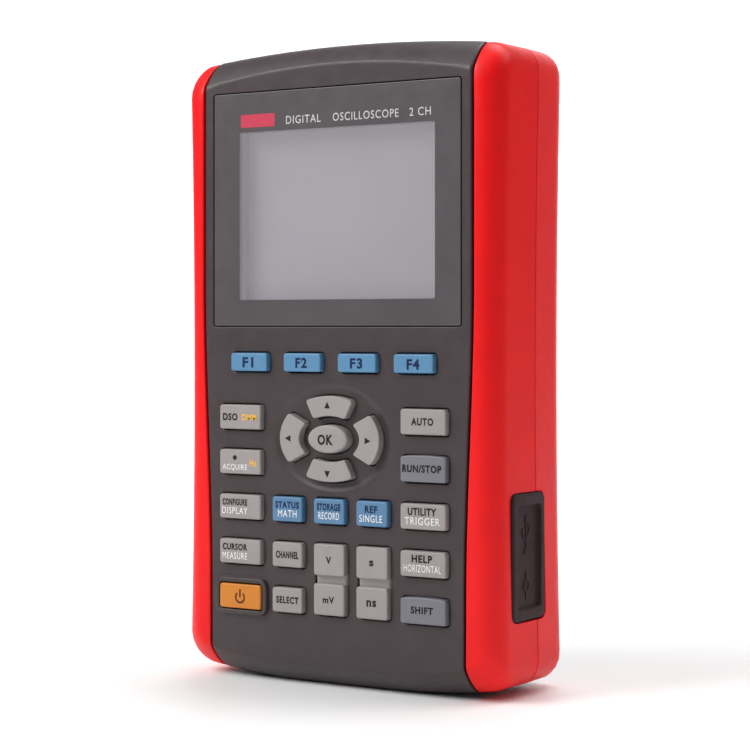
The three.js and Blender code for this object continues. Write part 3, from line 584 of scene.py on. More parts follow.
def moulded(name, slot, colour, roughness, grain_mm=0.22, grain=0.12, vary=0.08, soften=0.0, **sockets):
    """A moulded plastic or rubber: fine spark-eroded grain, and slight drifts of colour and gloss."""
    finish = Finish(name, slot, IOR=1.48, **sockets)
    if soften:
        finish.soften(soften)
    finish.vary("Base Color", (9.0, 4.0), linear(*colour, 1 - vary), linear(*colour, 1 + vary))
    finish.vary("Roughness", (3.0, 4.0), roughness - 0.04, roughness + 0.05)
    finish.bump((grain_mm, 2.0), grain, 0.05)
    return finish.material


def key_plastic(name, slot, colour, roughness=0.42):
    return moulded(name, slot, colour, roughness, grain=0.06, vary=0.03)


def metal(name, slot, colour, roughness):
    finish = Finish(name, slot, Metallic=1.0)
    finish.vary("Base Color", (2.5, 5.0), linear(*colour, 0.82), linear(*colour))
    finish.vary("Roughness", (0.6, 4.0), roughness * 0.75, roughness * 1.3)
    finish.bump((0.15, 2.0), 0.06, 0.02)
    return finish.material


def ink(name, colour):
    """Printed legends, a little uneven in gloss."""
    finish = Finish(name, IOR=1.45, Specular_IOR_Level=0.25)
    base = linear(*colour)
    thin = tuple(mix(c, 0.3, 0.06) for c in base[:3]) + (1,)
    finish.vary("Base Color", (0.5, 3.0), thin, base, (0.3, 0.5))
    finish.vary("Roughness", (0.8, 3.0), 0.5, 0.63)
    return finish.material


def lens_face():
    """The printed back of a clear window: a flat dark grey under a glossy face."""
    finish = Finish("window_border", "lens", IOR=1.5, Coat_Weight=0.35, Coat_Roughness=0.04)
    finish.vary("Base Color", (25.0, 2.0), linear(77, 71, 74), linear(82, 76, 79))
    finish.vary("Roughness", (4.0, 3.0), 0.3, 0.38)
    finish.bump((0.6, 2.0), 0.02, 0.01)
    return finish.material


def clear_pane():
    """A thin clear sheet that shows what is behind it and a weak reflection."""
    finish = Finish("window_pane", "lens", Roughness=0.06, IOR=1.45, Alpha=0.3)
    finish.vary("Base Color", (30.0, 3.0), linear(180, 176, 182), linear(184, 180, 186))
    finish.bump((8.0, 1.0), 0.01, 0.01)
    return finish.material


def display_panel():
    """A switched-off LCD: a pale satin grey."""
    finish = Finish("display_panel", "screen", IOR=1.5)
    finish.vary("Base Color", (30.0, 2.0), linear(188, 182, 189), linear(192, 186, 193))
    finish.vary("Roughness", (5.0, 3.0), 0.3, 0.36)
    finish.bump((14.0, 1.0), 0.02, 0.02)
    return finish.material


SHELL = moulded("shell_grey", "shell_grey", (62, 52, 54), 0.4, soften=0.15)
SHELL_BACK = moulded("shell_grey_back", "shell_grey", (60, 56, 57), 0.44, soften=0.3)
GRIP = moulded("grip_red", "grip_red", (240, 14, 18), 0.38, 0.3, 0.06, 0.03, Specular_IOR_Level=0.3)
KEY_GREY = key_plastic("key_grey", "key_grey", (155, 148, 147), 0.46)
KEY_SLATE = key_plastic("key_slate", "key_slate", (118, 117, 125), 0.46)
KEY_BLUE = key_plastic("key_blue", "key_blue", (86, 136, 174))
KEY_BLUE_DEEP = key_plastic("key_blue_deep", "key_blue", (86, 128, 164))
KEY_ORANGE = key_plastic("key_orange", "key_orange", (210, 128, 34))
RUBBER = moulded("port_rubber", "black_rubber", (50, 32, 36), 0.55, grain=0.15, vary=0.1, soften=0.2,
                 Specular_IOR_Level=0.25)
GASKET = moulded("display_gasket", "black_plastic", (122, 117, 121), 0.5, vary=0.03)
FOOT_RUBBER = moulded("foot_rubber", "black_rubber", (32, 31, 31), 0.7, grain=0.2)
BLACK = moulded("black_plastic", "black_plastic", (30, 30, 31), 0.42, soften=0.15)
JACK_RED = moulded("jack_red", "red_plastic", (190, 28, 28), 0.35, soften=0.15)
INSULATOR = moulded("insulator_white", "nickel", (225, 222, 212), 0.4)
BOARD = moulded("solder_mask", None, (26, 84, 44), 0.35, grain_mm=0.8)
WRAP = moulded("battery_wrap", None, (48, 82, 150), 0.3, grain_mm=1.5)
MAT = moulded("silicone_mat", None, (150, 148, 146), 0.6)
STEEL = metal("plated_steel", "steel", (196, 194, 190), 0.3)
NICKEL = metal("nickel_plate", "nickel", (214, 210, 200), 0.2)
GOLD = metal("gold_contact", "nickel", (226, 184, 96), 0.2)
INK_DARK = ink("ink_dark", (26, 24, 26))
INK_WHITE = ink("ink_white", (240, 240, 240))
INK_NAVY = ink("ink_navy", (20, 34, 78))
INK_YELLOW = ink("ink_yellow", (240, 184, 70))
INK_BROWN = ink("ink_brown", (96, 42, 18))
INK_LIGHT = ink("ink_light", (205, 203, 204))
INK_RED = ink("ink_red", (196, 62, 84))
WINDOW_FACE = lens_face()
PANE = clear_pane()
PANEL = display_panel()

# ---- Keys ----


def key_layout():
    """Each round-cornered key as name: (x, z, size, material)."""
    keys = {}
    for i in range(4):
        keys[f"key_f{i + 1}"] = (KEYS_X + (i - 1.5) * SOFT_KEY_PITCH, SOFT_KEY_Z, SOFT_KEY, KEY_BLUE)
    columns = (
        (-COLUMN_OUTER, 0, WIDE_KEY, ("mode", "acquire", "display", "measure", "power")),
        (COLUMN_OUTER, 0, WIDE_KEY, ("auto", "run_stop", "trigger", "horizontal", "shift")),
        (-COLUMN_INNER, 2, SMALL_KEY, ("math", "channel", "select")),
        (0, 2, SMALL_KEY, ("record",)),
        (COLUMN_INNER, 2, SMALL_KEY, ("single",)),
    )
    coloured = {"power": KEY_ORANGE, "run_stop": KEY_SLATE, "shift": KEY_SLATE}
    coloured.update({name: KEY_BLUE_DEEP for name in ("math", "record", "single")})
    for x, first, size, names in columns:
        for i, name in enumerate(names):
            z = ROW_TOP - (first + i) * ROW_PITCH
            keys[f"key_{name}"] = (KEYS_X + x, z, size, coloured.get(name, KEY_GREY))
    return keys


KEYS = key_layout()


def key_rings(outline, height, edge=0.5, crown=CROWN):
    """Rings of a key cap from its back to the middle of its face."""
    draft = 0.06
    top = y_at(crown - height)
    rings = [layer(outline, y_at(KEY_BACK)), layer(outline, y_at(0.2))]
    for a in np.radians(np.linspace(0, 90, 7)):
        inset = draft + edge * (1 - math.cos(a))
        rings.append(layer(offset(outline, -inset), top + edge * (1 - math.sin(a))))
    if crown:
        middle = outline.mean(0)
        face = offset(outline, -draft - edge)
        for s in (0.8, 0.5, 0.2):
            rings.append(layer(middle + (face - middle) * s, top - crown * (1 - s * s)))
    return rings


def build_keys():
    for name, (x, z, size, material) in KEYS.items():
        arch = 0.35 if name in ARCHED else 0.0
        skin = Skin()
        skin.rings(key_rings(rounded_rect(x, z, *size, KEY_CORNER, arch=arch), KEY_HEIGHT))
        skin.make(name + "_cap", material, name, name)
    for direction in ARROWS:
        name = f"key_{direction}"
        skin = Skin()
        skin.capped(key_rings(arrow_key(direction), KEY_HEIGHT, ARROW_EDGE, 0.0))
        skin.make(name + "_cap", KEY_GREY, name, name, sharp=10.0)
    skin = Skin()
    skin.rings(key_rings(ellipse(OK_KEY), OK_HEIGHT, 0.7, 0.25))
    skin.make("key_ok_cap", KEY_GREY, "key_ok", "key_ok")


def build_rockers():
    """Each rocker is two pads joined by a low bridge."""
    for name, x in ROCKERS.items():
        base = rounded_rect(x, ROCKER_Z, *ROCKER, KEY_CORNER)
        bridge = Skin()
        bridge.stack([(base, y_at(KEY_BACK)), (base, y_at(0.6)), (offset(base, -0.5), y_at(-0.05)),
                      (offset(base, -0.9), y_at(-0.15))])
        pads = [Skin(), Skin()]
        for pad, z in zip(pads, (ROCKER_Z - ROCKER_REACH, ROCKER_Z + ROCKER_REACH)):
            pad.rings(key_rings(rounded_rect(x, z, ROCKER[0], ROCKER_PAD, KEY_CORNER), KEY_HEIGHT))
        place(boolean(bridge, pads, "UNION"), name + "_cap", KEY_GREY, name, name)


# ---- Printed legends ----


def text_mesh(text, weight):
    """The built-in font's outline of a word, as a thin closed mesh."""
    curve = bpy.data.curves.new("text", "FONT")
    curve.body = text
    curve.extrude = 0.01
    curve.offset = weight
    curve.space_character = TRACKING
    curve.resolution_u = 3
    obj = bpy.data.objects.new("text", curve)
    bpy.context.scene.collection.objects.link(obj)
    return evaluated_mesh(obj)


def print_text(name, text, a, b, face, width, height, material, body="case", top=False):
    """Prints a word, centred at (a, b), on a face that looks towards -Y or, with top, towards +Z."""
    mesh = text_mesh(text, LIGHT if material in (INK_WHITE, INK_LIGHT) else BOLD)
    points = np.array([v.co for v in mesh.vertices])
    low, high = points.min(0), points.max(0)
    points = (points - (low + high) / 2) / np.maximum(high - low, 1e-9)
    along, up, out = a + points[:, 0] * width, b + points[:, 1] * height, (points[:, 2] + 0.5) * INK_THICK
    placed = np.stack([along, up, face + out] if top else [along, face - out, up], 1)
    mesh.vertices.foreach_set("co", (placed * 0.001).astype(np.float32).ravel())
    mesh.update()
    place(mesh, name, material, body)


def print_shape(name, outline, y, material, body="case"):
    """Prints a filled outline on a face that looks towards -Y."""
    skin = Skin()
    skin.stack([(outline, y), (outline, y - INK_THICK)])
    skin.make(name, material, body)


# Each legend: key, then (word, x and z from the key's centre, width, height of its capitals, ink).
LEGENDS = {
    "key_f1": [("F1", -0.2, -0.1, 4.2, 3.2, INK_NAVY)],
    "key_f2": [("F2", -0.1, -0.1, 4.3, 3.2, INK_NAVY)],
    "key_f3": [("F3", 0, -0.1, 4.5, 3.2, INK_NAVY)],
    "key_f4": [("F4", 0.1, -0.2, 4.5, 3.2, INK_NAVY)],
    "key_mode": [("DSO", -3.7, 0, 5.7, 2.3, INK_DARK), ("DMM", 3.7, 0, 5.6, 2.0, INK_YELLOW)],
    "key_acquire": [("ACQUIRE", -1.9, -1.8, 9.5, 2.1, INK_WHITE), ("Hz", 5.3, -0.2, 2.8, 2.0, INK_YELLOW)],
    "key_display": [("CONFIGURE", -1.9, 1.4, 9.6, 2.1, INK_DARK),
                    ("DISPLAY", -1.9, -1.3, 9.9, 2.1, INK_WHITE)],
    "key_measure": [("CURSOR", -1.9, 1.4, 9.6, 2.1, INK_DARK), ("MEASURE", -1.9, -1.4, 9.6, 2.1, INK_WHITE)],
    "key_auto": [("AUTO", -0.1, 0.1, 7.7, 2.3, INK_DARK)],
    "key_run_stop": [("RUN/STOP", -0.3, 0.2, 13.6, 2.3, INK_DARK)],
    "key_trigger": [("UTILITY", -0.2, 1.5, 9.9, 2.3, INK_DARK),
                    ("TRIGGER", -0.1, -1.3, 12.2, 2.2, INK_WHITE)],
    "key_horizontal": [("HELP", -0.2, 1.6, 7.2, 2.3, INK_DARK),
                       ("HORIZONTAL", -0.1, -1.3, 13.0, 2.2, INK_WHITE)],
    "key_shift": [("SHIFT", -0.2, 0.4, 7.8, 2.2, INK_DARK)],
    "key_math": [("STATUS", 0.1, 1.4, 8.9, 2.1, INK_NAVY), ("MATH", 0.2, -1.3, 7.0, 2.2, INK_WHITE)],
    "key_record": [("STORAGE", 0, 1.4, 8.6, 2.2, INK_NAVY), ("RECORD", 0.1, -1.3, 7.6, 2.2, INK_WHITE)],
    "key_single": [("REF", -0.1, 1.4, 4.5, 2.2, INK_NAVY), ("SINGLE", -0.2, -1.4, 8.2, 2.2, INK_WHITE)],
    "key_channel": [("CHANNEL", 0.1, 0, 8.5, 2.3, INK_DARK)],
    "key_select": [("SELECT", 0.2, 0.1, 8.4, 2.2, INK_DARK)],
    "rocker_volts": [("V", 0, ROCKER_REACH, 2.0, 2.2, INK_DARK),
                     ("mV", 0, -ROCKER_REACH, 4.2, 2.1, INK_DARK)],
    "rocker_time": [("s", 0, ROCKER_REACH, 1.6, 1.8, INK_DARK),
                    ("ns", 0, -ROCKER_REACH, 3.5, 2.0, INK_DARK)],
}


def print_legends():
    y = y_at(-KEY_HEIGHT) - INK_GAP
    for key, words in LEGENDS.items():
        x, z = KEYS[key][:2] if key in KEYS else (ROCKERS[key], ROCKER_Z)
        for i, (word, dx, dz, width, height, material) in enumerate(words):
            print_text(f"{key}_legend_{i + 1}", word, x + dx, z + dz, y, width, height, material, key)
    dot_x, dot_z = KEYS["key_acquire"][:2]
    print_shape("key_acquire_dot", circle(0.75, (dot_x - 1.9, dot_z + 1.3), 24), y, INK_DARK, "key_acquire")
    x, z = KEYS_X - 0.5, PAD_Z - 0.2
    print_text("key_ok_legend", "OK", x, z, y_at(-OK_HEIGHT) - INK_GAP, 5.6, 3.2, INK_DARK, "key_ok")
    for direction, (turn, dx, dz) in ARROWS.items():
        triangle = polar(1.3, np.radians([turn, turn + 128, turn - 128])) + (x + dx, z + dz)
        print_shape(f"key_{direction}_legend", triangle, y, INK_DARK, f"key_{direction}")
    print_power_symbol(y)


def print_window():
    y = y_at(0) - INK_GAP / 2
    words = (("DIGITAL", -11.0, 13.0), ("OSCILLOSCOPE", 11.9, 23.8), ("2 CH", 31.4, 7.5))
    for i, (word, x, width) in enumerate(words):
        print_text(f"window_title_{i + 1}", word, x, TITLE_Z, y, width, TITLE_HEIGHT, INK_LIGHT)
    print_shape("window_mark", rounded_rect(-28.4, TITLE_Z + 0.4, 13.0, 4.1, 0.3), y, INK_RED)


def print_power_symbol(y):
    """A broken ring with a bar in its gap."""
    x, z = KEYS["key_power"][:2]
    a = np.radians(np.linspace(130, 410, 40))
    ring = np.concatenate([polar(1.95, a), polar(1.35, a)[::-1]]) + (x + 0.1, z - 0.3)
    skin = Skin()
    skin.capped([layer(ring, y), layer(ring, y - INK_THICK)])
    skin.make("key_power_ring", INK_BROWN, "key_power")
    print_shape("key_power_bar", rounded_rect(x + 0.1, z + 1.0, 0.62, 2.5, 0.1), y, INK_BROWN, "key_power")


# ---- Front housing ----


def cap_grids(top):
    """x of the columns across an end, and its outer and inner grids from the flat face to the seam."""
    edge = (SPLIT_HIGH if top else SPLIT_LOW) - GROOVE
    near = np.array(NEAR)
    x = np.concatenate([near - edge, [-BAY_X], np.linspace(-40.5, 40.5, 41), [BAY_X], (edge - near)[::-1]])
    seam = SEAM_T - SEAM_GAP / 2
    up = 1 if top else -1
    outer, inner = [], []
    for i, t in enumerate([0.0, *CAP_T, *[seam - d for d in SEAM_STEPS]]):
        z = end_surface(x, np.full_like(x, t), top) - (0 if i else up * CREASE_SUPPORT)
        slope = BEVEL_Z * BEVEL_POWER / BEVEL_T * (1 - share(t, 0, BEVEL_T)) ** (BEVEL_POWER - 1)
        normal = np.array([1.0, 0.0]) if i < 2 else np.array([slope, -up]) / math.hypot(slope, 1)
        drop = edge_drop(edge - np.abs(x), EDGE) + edge_drop(seam - t, SEAM_EDGE)
        outer.append(list(zip(x, y_at(t) + normal[0] * drop, z + normal[1] * drop)))
        deep = (0.0, -up * SKIN) if t > BEVEL_T else normal * SKIN
        inner.append(list(zip(x, np.full_like(x, y_at(t) + deep[0]), z + deep[1])))
    return x, outer, inner


def side_columns(bottom_row, top_row):
    """Columns of points down the groove on the right side of the flat face, outermost first."""
    columns = []
    for k, distance in enumerate(NEAR):
        y = y_at(edge_drop(distance, EDGE))
        heights = np.linspace(bottom_row[-1 - k][2], top_row[-1 - k][2], 70)
        columns.append([(split(z) - GROOVE - distance, y, z) for z in heights])
    return columns


def lip(outline, radius=0.3, depth=SKIN):
    """Rings of a hole's rounded mouth and wall. outline gives the hole's edge, grown by a distance."""
    rings = [layer(outline(radius + 0.15), y_at(0))]
    for a in np.radians([0, 30, 60, 90]):
        rings.append(layer(outline(radius * (1 - math.sin(a))), y_at(radius * (1 - math.cos(a)))))
    return rings + [layer(outline(0), y_at(depth))]


def key_hole(x, z, size):
    return lip(growing_rect(x, z, size[0] + 2 * KEY_GAP, size[1] + 2 * KEY_GAP, HOLE_CORNER))


def pad_hole(outline):
    """The lip of a hole in the dish's floor."""
    rings = lip(lambda grow: offset(outline, KEY_GAP + grow), 0.25)
    return [[(x, y + DISH_DEEP, z) for x, y, z in ring] for ring in rings[:-1]] + rings[-1:]


def guard_rings():
    """The raised rim round the power key, from the flat face over its top and down into the hole."""
    x, z, size = KEYS["key_power"][:3]
    outline = growing_rect(x, z, *size, KEY_CORNER)
    hole, reach, top = KEY_GAP, GUARD_REACH, GUARD_HEIGHT
    profile = [(reach + 0.9, 0), (reach + 0.45, 0), (reach + 0.16, 0.06), (reach, 0.25),
               (reach - 0.06, top - 0.5), (reach - 0.14, top - 0.2), (reach - 0.32, top - 0.05),
               (reach - 0.6, top), (hole + 0.5, top), (hole + 0.2, top - 0.07), (hole + 0.04, top - 0.25),
               (hole, top - 0.5), (hole, -SKIN)]
    return [layer(outline(grow), y_at(-height)) for grow, height in profile]


def window_rings():
    """The step that the window sits on, and the opening for the display in it."""
    step = WINDOW_THICK + 0.1
    outline = growing_rect(0, (WINDOW_LOW + WINDOW_HIGH) / 2, 2 * WINDOW_X, WINDOW_HIGH - WINDOW_LOW, 0.8)
    opening = rect_between(LCD_X + 1.3, LCD_LOW - 1.0, LCD_HIGH + 1.0, 0.5)
    rings = lip(lambda grow: outline(grow + 0.38), 0.25, step)
    return rings + [layer(opening, y_at(step)), layer(opening, y_at(SKIN))]


def face_outline(bottom, right, top, left):
    """The outline of a face from the rows of points along its four sides."""
    up, down = flatten(right[1:-1]), flatten(left[1:-1])[::-1]
    return np.concatenate([flatten(bottom), up, flatten(top)[::-1], down])


def build_front_housing():
    skin = Skin()
    x, top_outer, top_inner = cap_grids(True)
    _, bottom_outer, bottom_inner = cap_grids(False)
    bay_row = 1 + CAP_T.index(BAY_FRONT - FRONT_Y)
    in_bay = [c for c in range(len(x)) if abs(x[c]) <= BAY_X]
    first, last = in_bay[0], in_bay[-1]

    def beside_bay(r, c):
        return r < bay_row or not first <= c < last

    a, b = skin.grid(bottom_outer), skin.grid(bottom_inner)
    skin.sides(a, b)
    skin.strip(a[-1], b[-1])
    a, b = skin.grid(top_outer, beside_bay), skin.grid(top_inner, beside_bay)
    skin.sides(a, b)
    for r, columns in ((-1, slice(first + 1)), (-1, slice(last, None)), (bay_row, slice(first, last + 1))):
        skin.strip(a[r][columns], b[r][columns])
    for c in (first, last):
        skin.strip([r[c] for r in a[bay_row:]], [r[c] for r in b[bay_row:]])

    right = side_columns(bottom_outer[0], top_outer[0])
    left = [[(-px, py, pz) for px, py, pz in column] for column in right]
    back = [[(px, y_at(SKIN), pz) for px, _, pz in column] for column in (right[0], left[0])]
    for columns, wall in zip((right, left), back):
        skin.grid([wall, *columns])

    holes = [window_rings(), guard_rings()]
    holes += [key_hole(*KEYS[name][:3]) for name in KEYS if name != "key_power"]
    holes += [key_hole(kx, ROCKER_Z, ROCKER) for kx in ROCKERS.values()]
    dish = [layer(ellipse(DISH, grow), y_at(deep)) for grow, deep in [*DISH_SLOPE, (-1.4, DISH_DEEP)]]
    pad_holes = [pad_hole(outline) for outline in [*map(arrow_key, ARROWS), ellipse(OK_KEY)]]
    for rings in [*holes, dish, *pad_holes]:
        skin.rings(rings, closed=False)
    flat = slice(len(NEAR) - 1, len(x) - len(NEAR) + 1)
    outline = face_outline(bottom_outer[0][flat], right[-1], top_outer[0][flat], left[-1])
    skin.plate(y_at(0), outline, [flatten(rings[0]) for rings in [*holes, dish]])
    skin.plate(y_at(DISH_DEEP), flatten(dish[-1]), [flatten(rings[0]) for rings in pad_holes])
    behind = face_outline(bottom_inner[0], back[0], top_inner[0], back[1])
    skin.plate(y_at(SKIN), behind, [flatten(rings[-1]) for rings in [*holes, *pad_holes]])
    skin.make("front_shell", SHELL, "case", "front_housing")


# ---- Shells found by rays from inside the case ----


def point_grid(x, z, t):
    return np.stack(np.broadcast_arrays(x, z, t), -1)


def cast_shell(hit, direction, drop, thick, side=1):
    """A closed shell: its outside a drop under the points that the rays hit, its inside deeper."""
    skin = Skin()
    grids = (hit - direction * drop[..., None], hit - direction * thick)
    skin.shell(*[[[(side * x, y_at(t), z) for x, z, t in line] for line in grid] for grid in grids])
    return skin


def grip_skin(side, front):
    """One soft grip: from the groove over the side to the seam, round both ends."""
    seam = SEAM_T + (-SEAM_GAP / 2 if front else SEAM_GAP / 2)
    base_t, out = (8.0, -1.0) if front else (30.0, 1.0)
    turns = [math.acos(d / GRIP_END) for d in EDGE_STEPS] + list(np.radians(np.linspace(86, 8, 16)))
    columns = [(HEIGHT - GRIP_END, turn) for turn in turns]
    columns += [(z, 0.0) for z in np.linspace(HEIGHT - GRIP_END, GRIP_END, 80)]
    columns += [(GRIP_END, -turn) for turn in reversed(turns)]
    z, turn = np.array(columns).T[:, None, :]

    tilts = [math.atan(d / 8.0) for d in EDGE_STEPS + [EDGE + 0.2, 1.3, 2.4]]
    rows = [(base_t, tilt) for tilt in tilts + list(np.radians(np.linspace(22, 90, 16)))]
    along = np.linspace(base_t, seam + out * (SEAM_EDGE + 0.4), 8)[1:]
    rows += [(t, math.pi / 2) for t in [*along, *[seam + out * d for d in SEAM_STEPS]]]
    t, tilt = np.array(rows).T[:, :, None]

    direction = point_grid(np.sin(tilt) * np.cos(turn), np.sin(tilt) * np.sin(turn), out * np.cos(tilt))
    hit = cast(point_grid(split(z), z, t), direction)
    drop = edge_drop(hit[..., 0] - split(hit[..., 1]), EDGE)
    drop += edge_drop(np.abs(hit[..., 2] - seam), SEAM_EDGE)
    return cast_shell(hit, direction, drop, GRIP_SKIN, side)


def rear_skin():
    """The hard back: from the seam over one end, down the flat back, to the seam again."""
    seam = SEAM_T + SEAM_GAP / 2
    core, base = 26.0, 30.0
    high = HEIGHT - core
    start_rows = [seam + d for d in reversed(SEAM_STEPS)] + [24.6, 27.0]
    rows = [(high, t, 0.0) for t in start_rows]
    rows += [(high, base, a) for a in np.linspace(0, 90, 26)]
    rows += [(z, base, 90.0) for z in np.linspace(high, core, 60)[1:-1]]
    rows += [(core, base, a) for a in np.linspace(90, 180, 26)]
    rows += [(core, t, 180.0) for t in reversed(start_rows)]
    z, t, turn = np.array(rows).T[:, :, None]
    turn = np.radians(turn)

    inset = np.array([*NEAR, *[0] * 31, *reversed(NEAR)])[None, :]
    share_x = np.array([*[-1] * len(NEAR), *np.linspace(-0.96, 0.96, 31), *[1] * len(NEAR)])[None, :]
    edge = split(z) - GROOVE
    x = np.sign(share_x) * (edge * np.abs(share_x) - inset)
    direction = point_grid(np.zeros_like(x), np.cos(turn), np.sin(turn))
    hit = cast(point_grid(x, z, t), direction)
    drop = edge_drop(edge - np.abs(hit[..., 0]), EDGE) + edge_drop(hit[..., 2] - seam, SEAM_EDGE)
    return cast_shell(hit, direction, drop, SKIN)


def build_grips():
    opening = Skin()
    opening.stack([(side_rect(0.3), PORT_FLOOR), (side_rect(0.3), PORT_FACE + 5.5)], "x")
    for end, front in (("front", True), ("rear", False)):
        for side, hand in HANDS:
            mesh = grip_skin(side, front).mesh(50.0)
            if side > 0:
                mesh = boolean(mesh, [opening], sharp=50.0)
            place(mesh, f"{end}_grip_{hand}_skin", GRIP, "case", f"{end}_grip_{hand}")


# ---- Back: housing, door, stand and screws ----


def case_screws():
    return [(side * CASE_SCREW_X, z) for z in CASE_SCREW_Z for side in (-1, 1)]


def build_rear_housing():
    rest = box((-REST_X, REST_X), (REST_FROM, BACK_Y - 0.8), (REST_LOW, REST_HIGH))
    shell = boolean(rear_skin(), [rest], "UNION")
    recess = rect_between(STAND_X + 0.4, STAND_LOW - 0.4, HINGE_Z + BARREL + 0.4, 1.2)
    door = rect_between(DOOR_X + 0.3, DOOR_LOW - 0.3, DOOR_HIGH + 0.3, 1.5)
    notch = rounded_rect(0, STAND_LOW + 0.5, 18.0, 15.0, 4.0)
    shell = boolean(shell, [
        prism(recess, BACK_Y + 5, RECESS_FLOOR),
        prism(door, RECESS_FLOOR + 1, DOOR_INNER - 0.2),
        prism(notch, BACK_Y + 5, BACK_Y - 5.4, 1.6),
        box((-BAY_X, BAY_X), (BAY_FRONT, BAY_BACK), (BAY_DECK - 6, HEIGHT + 9)),
    ])
    posts = [lathe([(4.4, 14.0), (4.4, BACK_Y - 0.9)], spot, "y") for spot in case_screws()]
    shell = boolean(shell, posts, "UNION")
    well = [(3.1, CASE_SCREW_SEAT - BACK_Y), (3.1, -0.45), (3.25, -0.2), (3.6, 0.02), (3.6, 3)]
    shell = boolean(shell, [lathe(well, spot, "y", base=BACK_Y) for spot in case_screws()])
    place(shell, "rear_shell", SHELL_BACK, "case", "rear_housing")


def build_screw(name, x, z, radius, face, thick):
    """A pan head screw with a cross slot, seen from behind."""
    crown = [(radius * math.cos(a), 0.35 * math.sin(a)) for a in np.radians((0, 20, 45, 70, 84))]
    neck = [(radius * 0.5, -thick - 2), (radius * 0.5, -thick), (radius, -thick)]
    head = lathe([*neck, *crown], (x, z), "y", 40, face)
    wide, long = radius * 0.13, radius * 0.6
    slots = [prism(rounded_rect(x, z, 2 * a, 2 * b, wide * 0.5, 3), face + 1, face - 0.75)
             for a, b in ((wide, long), (long, wide))]
    place(boolean(head, slots), name + "_head", STEEL, "case", name)


def build_screws():
    for (x, z), corner in zip(case_screws(), ("lower_left", "lower_right", "upper_left", "upper_right")):
        build_screw(f"case_screw_{corner}", x, z, 2.7, CASE_SCREW_SEAT + 1.9, 1.9)
    for side, hand in HANDS:
        build_screw(f"door_screw_{hand}", side * DOOR_SCREW_X, DOOR_SCREW_Z, 2.3, DOOR_OUTER - 0.15, 0.6)


def build_battery_door():
    """A plate with finger grooves, an arrow and two sunk screw seats."""
    plate = prism(rect_between(DOOR_X, DOOR_LOW, DOOR_HIGH, 1.3), DOOR_INNER, DOOR_OUTER, 0.35)
    cuts = [lathe([(2.6, -1.0), (2.6, 1.0)], (side * DOOR_SCREW_X, DOOR_SCREW_Z), "y", base=DOOR_OUTER)
            for side in (-1, 1)]
    cuts += [prism(rounded_rect(0, z, 30, 1.1, 0.5, 4), DOOR_OUTER + 1, DOOR_OUTER - 0.55)
             for z in np.arange(101.0, 113.1, 2.4)]
    arrow = np.array([(-3.2, 91.4), (3.2, 91.4), (0, 95.6)])
    cuts.append(prism(arrow, DOOR_OUTER + 1, DOOR_OUTER - 0.4))
    place(boolean(plate, cuts), "battery_door_plate", SHELL_BACK, "case", "battery_door")


def build_stand():
    """A folding plate with a ribbed hollow, three hinge knuckles and two rubber feet."""
    knuckle, middle, gap = 14.0, 7.5, 0.3
    through = (STAND_INNER - 2, STAND_OUTER + 2)
    outline = rounded_rect(0, (STAND_LOW + HINGE_Z) / 2, 2 * STAND_X, HINGE_Z - STAND_LOW, 5.0, 8)
    plate = prism(outline, STAND_INNER, STAND_OUTER, 0.7)
    shoulder = box((-STAND_X, STAND_X), (STAND_INNER, STAND_OUTER - 0.3), (HINGE_Z - 9, HINGE_Z - 0.2))
    spans = ((-STAND_X, -STAND_X + knuckle), (-middle, middle), (STAND_X - knuckle, STAND_X))
    knuckles = [lathe([(BARREL, a), (BARREL, b)], (HINGE_Y, HINGE_Z), "x", 40) for a, b in spans]
    stand = boolean(plate, [shoulder, *knuckles], "UNION")
    gaps = ((-STAND_X + knuckle + gap, -middle - gap), (middle + gap, STAND_X - knuckle - gap))
    cuts = [box(span, through, (HINGE_Z - 2.2, HINGE_Z + 5)) for span in gaps]
    cuts.append(prism(rounded_rect(0, 78.0, 44.0, 66.0, 3.0), through[1], STAND_OUTER - 1.1, 0.5))
    cuts += [prism(rounded_rect(0, z, 16, 1.0, 0.45, 4), through[1], STAND_OUTER - 0.6)
             for z in (34.2, 36.4, 38.6)]
    cuts.append(box((-STAND_X + 6, STAND_X - 6), (through[0], STAND_INNER + 1.0), (44, HINGE_Z - 12)))
    stand = boolean(stand, cuts)
    ribs = [prism(rounded_rect(0, z, 43.5, 1.4, 0.4, 3), STAND_OUTER - 1.3, STAND_OUTER - 0.25, 0.25)
            for z in np.arange(53.0, 104.0, 10.0)]
    place(boolean(stand, ribs, "UNION"), "stand_plate", SHELL_BACK, "stand", "tilt_stand")
    for side, hand in HANDS:
        outline = rounded_rect(side * 21.0, 34.6, 11.0, 4.4, 1.6)
        foot = prism(outline, STAND_OUTER - 0.5, STAND_OUTER + 0.28, 0.25)
        foot.make(f"stand_foot_{hand}", FOOT_RUBBER, "stand")


# ---- Side cover and the ports behind it ----


def side_rect(grow=0.0, width=PORT_WIDTH, length=PORT_LENGTH, corner=PORT_CORNER, z=PORT_Z):
    """A round-cornered rectangle on the right side, in (y, z)."""
    return rounded_rect(y_at(PORT_T), z, width + 2 * grow, length + 2 * grow, max(corner + grow, 0.2))


def bar(a, b, thick=0.5):
    """A straight stroke between two points."""
    a, b = np.array(a, float), np.array(b, float)
    along = (b - a) / np.linalg.norm(b - a)
    across = np.array([-along[1], along[0]]) * thick / 2
    return [a - across, b - across, b + across, a + across]


def cover_symbol(name, outlines, z, sunk):
    """A symbol raised from the cover's sunk middle."""
    skin = Skin()
    for outline in outlines:
        points = np.array(outline) + (y_at(PORT_T - 0.3), z)
        skin.stack([(points, sunk - 0.05), (points, sunk + 0.22)], "x")
    skin.make(name, RUBBER, "cover")


